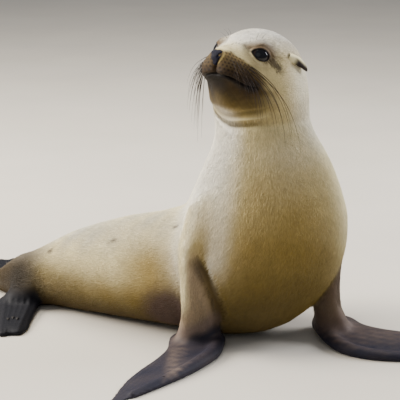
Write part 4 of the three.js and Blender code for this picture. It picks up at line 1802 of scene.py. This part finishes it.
def hang(p, heading, long, droop):
    """Paths that leave along their headings, bend towards the ground and slide over the skin."""
    paths = [p]
    for i in range(WHISKER_STEPS):
        pull = droop * (0.35 + 1.3 * i / WHISKER_STEPS) / WHISKER_STEPS
        heading = unit_rows(heading - pull[:, None] * (0, 0, 1))
        ahead = p + heading * (long / WHISKER_STEPS)[:, None]
        depth = skin_field(ahead)
        slope = np.stack([skin_field(ahead + step) - depth for step in np.eye(3) * 0.5], 1)
        ahead = ahead + unit_rows(slope) * np.clip(min(i, 4) * 0.7 - depth, 0, 6)[:, None]
        heading, p = unit_rows(ahead - p), ahead
        paths.append(p)
    return np.stack(paths, 1)


print("the skin under a place before the muzzle:",
      to_head(on_surface([in_head(90, 90, -10)], [head_way(-0.1, -1, 0)])).round())

# %% Paths of the whiskers
ROW_LENGTHS = (1, 1, 0.9, 0.7, 0.5)  # shares of the longest, from the top row down
dice = np.random.default_rng(12)

# one row each: start and direction of the search, heading, length, thickness, droop
beds = []
for side in (1, -1):
    for row in range(5):
        for column in range(6):
            back = np.clip(column / 5 + dice.uniform(-0.06, 0.06), 0, 1)
            start = in_head(100 - 28 * back, side * 90, -1 - 5 * row - 7 * back)
            ahead = 0.3 - 0.75 * back + dice.normal(0, 0.09)
            way = head_way(ahead, side * mix(0.5, 0.75, side > 0), -0.3 - 0.1 * row + dice.normal(0, 0.07))
            long = mix(40, 148, back**0.75) * ROW_LENGTHS[row] * dice.uniform(0.78, 1.1)
            search = head_way(-0.1, -side, 0)
            beds.append((start, search, way, long, mix(0.3, 0.6, back), dice.uniform(2.2, 3.2)))
    for k in range(3):
        start = in_head(54 - 9 * k, side * (25 + 4 * k), 80)
        way = head_way(0.5 - 0.2 * k, side * 0.35, 0.75)
        beds.append((start, head_way(0, 0, -1), way, 20 - 3 * k, 0.22, 1.2))
starts, searches, ways, long, thick, droop = (np.array(list(column), float) for column in zip(*beds))
paths = hang(on_surface(starts, searches) - ways, ways, long, droop)
shares = np.linspace(0, 1, WHISKER_STEPS + 1)
thickness = thick[:, None] * (1 - 0.86 * shares**1.3)
steps = np.arange(len(paths) * (WHISKER_STEPS + 1)).reshape(len(paths), -1)
line_edges = np.stack([steps[:, :-1].ravel(), steps[:, 1:].ravel()], 1)
line_mesh = bpy.data.meshes.new("whisker_paths")
line_mesh.from_pydata((paths.reshape(-1, 3) + FRAME_SHIFT) * MM, line_edges.tolist(), [])
set_attribute(line_mesh, "thick", "FLOAT", thickness.ravel() * MM)
lines = in_scene("whisker_paths", line_mesh)
print("whiskers:", len(paths), "of", round(long.min()), "to", round(long.max()), "mm")

# %% Grow the whiskers
def whisker_material():
    material, tree, shader = new_material("whisker_hair")
    tone = noise(tree, place_of(tree), 38, 2)
    fill(tree, shader, {
        "Base Color": two_tones(tree, ranged(tree, tone, 0.4, 0.75, 0, 1), "1c1410", "3a2a1e"),
        "Roughness": ranged(tree, tone, 0.3, 0.7, 0.45, 0.65),
        "Specular IOR Level": 0.2,
    })
    return material


whisker_sides = 6
whiskers = grown("whiskers", lines, whisker_maker, Sides=whisker_sides, Material=whisker_material())
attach(whiskers, "root")
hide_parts("muzzle")
progress(f"whiskers made: {len(whiskers.data.polygons)} faces")

# %% [markdown]
# ## Coat
# The coat is short and lies flat. Most of it is grain in the skin's material, and over that lie small flat
# tufts, which break the outline and catch the light on every side. A Geometry Nodes tree scatters them on
# the skin, turns each along the lie, tips it up a little, and sets its length by a mark on the skin: some
# four millimetres on the face and seven or eight on the body, and none on the lips, the lids, the hands or
# the feet.

# %% One tuft
def tuft():
    """A flat, pointed, closed tuft of unit length along X, with its own places kept for the map."""
    points = np.array([(0, -0.5, 0), (0, 0.5, 0), (0.38, 0, 0.5), (1, 0, 0.1)])
    faces = np.array([(0, 2, 1), (0, 3, 2), (1, 2, 3), (0, 1, 3)])
    mesh = bpy.data.meshes.new("tuft")
    mesh.from_pydata(points, [], faces.tolist())
    set_attribute(mesh, "place", "FLOAT_VECTOR", points)
    return in_scene("tuft", mesh)


one_tuft = tuft()
print("a tuft has", len(one_tuft.data.polygons), "faces")

# %% The tree that plants tufts
def coat_tree():
    tree, given, result = node_tree(
        "coat",
        ("Tuft", "NodeSocketObject", None),
        ("Density", "NodeSocketFloat", 1e5),
        ("Slimness", "NodeSocketFloat", 0.15),
        ("Lift", "NodeSocketFloat", 0.2),
        ("Seed", "NodeSocketInt", 1),
        ("Material", "NodeSocketMaterial", None),
    )

    def chance(low, high, seed):
        inputs = {2: low, 3: high, "Seed": seed}
        return add(tree, "FunctionNodeRandomValue", inputs, data_type="FLOAT").outputs[1]

    def vector_math(operation, a, b):
        inputs = {0: a, "Scale" if operation == "SCALE" else 1: b}
        return add(tree, "ShaderNodeVectorMath", inputs, operation=operation).outputs["Vector"]

    density = product(tree, named(tree, "furred"), given["Density"])
    bed = {"Mesh": given["Geometry"], "Density": density, "Seed": given["Seed"]}
    scatter = add(tree, "GeometryNodeDistributePointsOnFaces", bed, distribute_method="RANDOM")
    normal, lie = scatter.outputs["Normal"], named(tree, "lie", "FLOAT_VECTOR")
    lifted = vector_math("SCALE", normal, product(tree, given["Lift"], chance(0.5, 1.5, 3)))
    stray = vector_math("SCALE", vector_math("CROSS_PRODUCT", lie, normal), chance(-0.22, 0.22, 4))
    heading = vector_math("ADD", vector_math("ADD", lie, lifted), stray)
    axes = {"Primary Axis": heading, "Secondary Axis": normal}
    turn = add(tree, "FunctionNodeAxesToRotation", axes, primary_axis="X", secondary_axis="Z")
    long = named(tree, "long")
    wide = product(tree, product(tree, long, given["Slimness"]), chance(0.7, 1.3, 6))
    size = add(tree, "ShaderNodeCombineXYZ", {
        "X": product(tree, long, chance(0.7, 1.25, 5)),
        "Y": wide,
        "Z": product(tree, wide, 0.5),
    })
    points = scatter.outputs["Points"]
    root = add(tree, "GeometryNodeInputPosition").outputs[0]
    for name, kind, value in (("root", "FLOAT_VECTOR", root), ("shade", "FLOAT", chance(0.8, 1.18, 7))):
        mark = {"Geometry": points, "Name": name, "Value": value}
        points = add(tree, "GeometryNodeStoreNamedAttribute", mark, data_type=kind).outputs["Geometry"]
    planted = add(tree, "GeometryNodeInstanceOnPoints", {
        "Points": points,
        "Instance": add(tree, "GeometryNodeObjectInfo", {"Object": given["Tuft"]}).outputs["Geometry"],
        "Rotation": turn.outputs["Rotation"],
        "Scale": size.outputs["Vector"],
    })
    finish_tree(tree, planted.outputs["Instances"], given, result)
    return tree


planting = coat_tree()
print("coat tree:", len(planting.nodes), "nodes")

# %% Tuft material
def tuft_material():
    material, tree, shader = new_material("fur_tufts")
    shade = attribute(tree, "shade", "Fac")
    drift = ranged(tree, noise(tree, place_of(tree), 90, 3), 0.3, 0.7, 0.94, 1.06)
    fill(tree, shader, {
        "Base Color": shaded(tree, attribute(tree, "colour", "Color"), product(tree, shade, drift)),
        "Roughness": ranged(tree, shade, 0.8, 1.2, 0.72, 0.58),
        "Sheen Weight": 0.03,
        "Sheen Roughness": 0.45,
        "Specular IOR Level": 0.28,
    })
    return material


fur_tufts = tuft_material()
print("tufts:", len(fur_tufts.node_tree.nodes), "nodes")

# %% [markdown]
# The coat is too fine for one mesh, so it is made in pieces: the head, the arms, and slices of equal area
# along the spine. Each piece has a map of its own, wrapped as its part of the body asks: a ball for the
# head and a tube for the rest.

# %% Maps of the coat
def ball_map(p):
    """The head's own map: turned about the nose's axis, with the distance from the nose outwards."""
    d = unit_rows(to_head(p))
    away = np.arccos(np.clip(d[:, 0], -1, 1)) / math.pi
    turn = np.arctan2(d[:, 2], d[:, 1])
    return 0.5 + 0.47 * away[:, None] * np.column_stack([np.cos(turn), np.sin(turn)])


def tube_map(p):
    """The body's own map: round the spine and along it."""
    length, across, _ = on_spine(p)
    turn = np.arctan2(across[:, 1], across[:, 0]) / (2 * math.pi) + 0.5
    return np.column_stack([0.02 + 0.96 * turn, 0.02 + 0.96 * (length + 120) / (spine_length[-1] + 300)])


def arm_map(p):
    """The arms' own map: each round its own axis and along its height, side by side."""
    left = p[:, 0] > 0
    middle = np.where(left[:, None], (110, -50), (-102, -126))
    turn = np.arctan2(p[:, 1] - middle[:, 1], p[:, 0] - middle[:, 0]) / (2 * math.pi) + 0.5
    return np.column_stack([0.02 + 0.45 * turn + 0.5 * left, 0.03 + 0.94 * np.clip(p[:, 2] / 260, 0, 1)])


print("crown and chest on their maps:", ball_map(sample[1:]).round(2), tube_map(sample[:1]).round(2))

# %% Where tufts grow
z = smooth_points[:, 2]
h = to_head(smooth_points)
on = over_neck(smooth_points)
angle, above = mouth(h)
on_muzzle = smooth(muzzle_edge(h), 3, -5) * smooth(h[:, 0], 32, 58) * on
crease, roll, near = throat_folds(h)
furred = 1 - smooth(flippers(smooth_points), 6, 2) * smooth(z, 62, 34)
furred = furred * smooth(z, 4, 12) * (1 - ear_points)
furred *= smooth(from_eyes(smooth_points), 2.5, 7)
furred *= 1 - smooth(np.abs(above), 4.5, 2.5) * smooth(angle, 100, 90) * (h[:, 0] > 45)
furred *= np.maximum(smooth(outline_of_nose(h), 2, 4), h[:, 0] < 82)
furred *= 1 - 0.6 * on_muzzle
furred *= 1 - 0.9 * near * np.maximum(bump(roll - 1, 6), bump(crease, 6))
furred *= 1 - bump(from_line(ARMPIT, smooth_points), 7)
print(f"fur grows on {(furred > 0.5).mean():.0%} of the skin's points")

# %% How long the tufts are
TUFT_HEAD, TUFT_BODY = 5.0, 7.6  # mm
on_arms = np.maximum(*(arm_share(smooth_points, field) for field in (fore_right, fore_left)))
long = mix(TUFT_HEAD, TUFT_BODY, smooth(z, 440, 330))
long = long * mix(1, 0.75, smooth(h[:, 0], 10, 60) * on) * mix(1, 0.75, on_muzzle)
long = long * mix(1, 0.8, on_arms) * mix(1, 0.8, smooth(z, 40, 12))
print("tufts from", long.min().round(1), "to", long.max().round(1), "mm")

# %% Divide the coat
TUFTS = 46500  # in the head's piece, and in each of the body's
BODY_PIECES = 5
HEAD_FROM = 385  # height at which the head's piece begins
corner = skin_points[skin_faces]
area = np.linalg.norm(np.cross(corner[:, 1] - corner[:, 0], corner[:, 2] - corner[:, 0]), axis=1) / 2
area *= furred[skin_faces].mean(1) * MM * MM
on_arm = on_arms[skin_faces].mean(1) > 0.5
piece_of = np.where(corner[:, :, 2].mean(1) > HEAD_FROM, 0, np.where(on_arm, 1, 2))
rest = np.flatnonzero(piece_of == 2)
rest = rest[np.argsort(on_spine(corner[rest].mean(1))[0])]
slices = np.cumsum(area[rest]) / area[rest].sum() * BODY_PIECES
piece_of[rest] = 2 + np.minimum(slices.astype(int), BODY_PIECES - 1)
density = TUFTS * BODY_PIECES / area[rest].sum()
density = min(density, TUFTS / area[piece_of == 0].sum())
print(round(density / 1e4), "tufts on a square centimetre")

# %% Plant the coat
TUFT_PATCH = 0.003  # a tuft's own share of the map
names = ["coat_head", "coat_arms"] + [f"coat_body_{i + 1}" for i in range(BODY_PIECES)]
for number, name in enumerate(names):
    used, faces = np.unique(skin_faces[piece_of == number], return_inverse=True)
    bed = new_piece("bed", skin_points[used] - 0.25 * skin_normals[used], faces.reshape(-1, 3))
    set_attribute(bed.data, "colour", "FLOAT_COLOR", skin_rgba[used])
    set_attribute(bed.data, "lie", "FLOAT_VECTOR", skin_lie[used])
    set_attribute(bed.data, "furred", "FLOAT", furred[used])
    set_attribute(bed.data, "long", "FLOAT", long[used] * MM)
    coat = grown(name, bed, planting, Tuft=one_tuft, Density=density, Seed=20 + number, Material=fur_tufts)
    count = len(coat.data.vertices)
    roots, places = np.empty(count * 3, np.float32), np.empty(count * 3, np.float32)
    coat.data.attributes["root"].data.foreach_get("vector", roots)
    coat.data.attributes["place"].data.foreach_get("vector", places)
    root_map = (ball_map, arm_map, tube_map)[min(number, 2)](roots.reshape(-1, 3) / MM - FRAME_SHIFT)
    if number > 1:
        low, high = root_map[:, 1].min(), root_map[:, 1].max()
        root_map[:, 1] = 0.02 + 0.96 * (root_map[:, 1] - low) / (high - low)
    corners = root_map + TUFT_PATCH * (places.reshape(-1, 3)[:, :2] - (0.5, 0))
    loops = np.empty(len(coat.data.loops), np.int32)
    coat.data.loops.foreach_get("vertex_index", loops)
    layer = coat.data.uv_layers.new(name="OFBake")
    layer.data.foreach_set("uv", np.clip(corners[loops], 0, 1).astype(np.float32).ravel())
    for spare in ("root", "place", "lie", "furred", "long"):
        if spare in coat.data.attributes:
            coat.data.attributes.remove(coat.data.attributes[spare])
    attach(coat, "root")
    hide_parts(*FLESH_NODES)
    print(f"{name}: {count // 4} tufts, {len(coat.data.polygons)} faces")
bpy.data.objects.remove(one_tuft)
progress("coat made")

# %% [markdown]
# ## Studio
# A pale floor and large soft lamps. The strongest stands on the left and a little behind, and lights the
# edge of the back. One hangs overhead as open sky would, one at the right draws the other edge, and a very
# weak one in front keeps the shade of the chest from closing.

# %% Floor
bpy.ops.mesh.primitive_plane_add(size=14, location=(0, 0, 0))
floor = bpy.context.object
floor.name = "floor"
floor_material, tree, shader = new_material("floor_paper")
floor_tone = ranged(tree, noise(tree, place_of(tree), 3, 2), 0.3, 0.7, 0.97, 1.03)
fill(tree, shader, {"Base Color": shaded(tree, add_colour(tree, "cfc8ba"), floor_tone), "Roughness": 0.85})
floor.data.materials.append(floor_material)
print("floor:", round(floor.dimensions.x), "m wide")

# %% Lamps
# name, place, size in metres, power in watts, colour
LAMPS = [
    ("overhead", (-0.55, 0.75, 2.6), 2.4, 100, "fffaf2"),
    ("left", (-2.6, 0.4, 1.6), 1.6, 185, "fff8ee"),
    ("front", (-0.6, -2.9, 2.0), 2.6, 7, "fffdf8"),
    ("right", (2.2, 0.6, 1.4), 1.4, 78, "f7f8ff"),
]
AIM = Vector((0, 0, 0.25))


def lamp(name, at, size, power, code):
    data = bpy.data.lights.new(name, "AREA")
    data.shape = "DISK"
    data.size, data.energy, data.color = size, power, linear(code)
    made = in_scene(name, data)
    made.location = at
    made.rotation_euler = (AIM - Vector(at)).to_track_quat("-Z", "Y").to_euler()


for row in LAMPS:
    lamp(*row)
sky = bpy.data.worlds.new("studio")
sky.use_nodes = True
fill(sky.node_tree, sky.node_tree.nodes["Background"], {"Color": (0.86, 0.9, 1.0, 1), "Strength": 0.34})
bpy.context.scene.world = sky
print(len(LAMPS), "lamps of", sum(power for _, _, _, power, _ in LAMPS), "W")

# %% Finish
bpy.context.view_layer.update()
progress("finished")
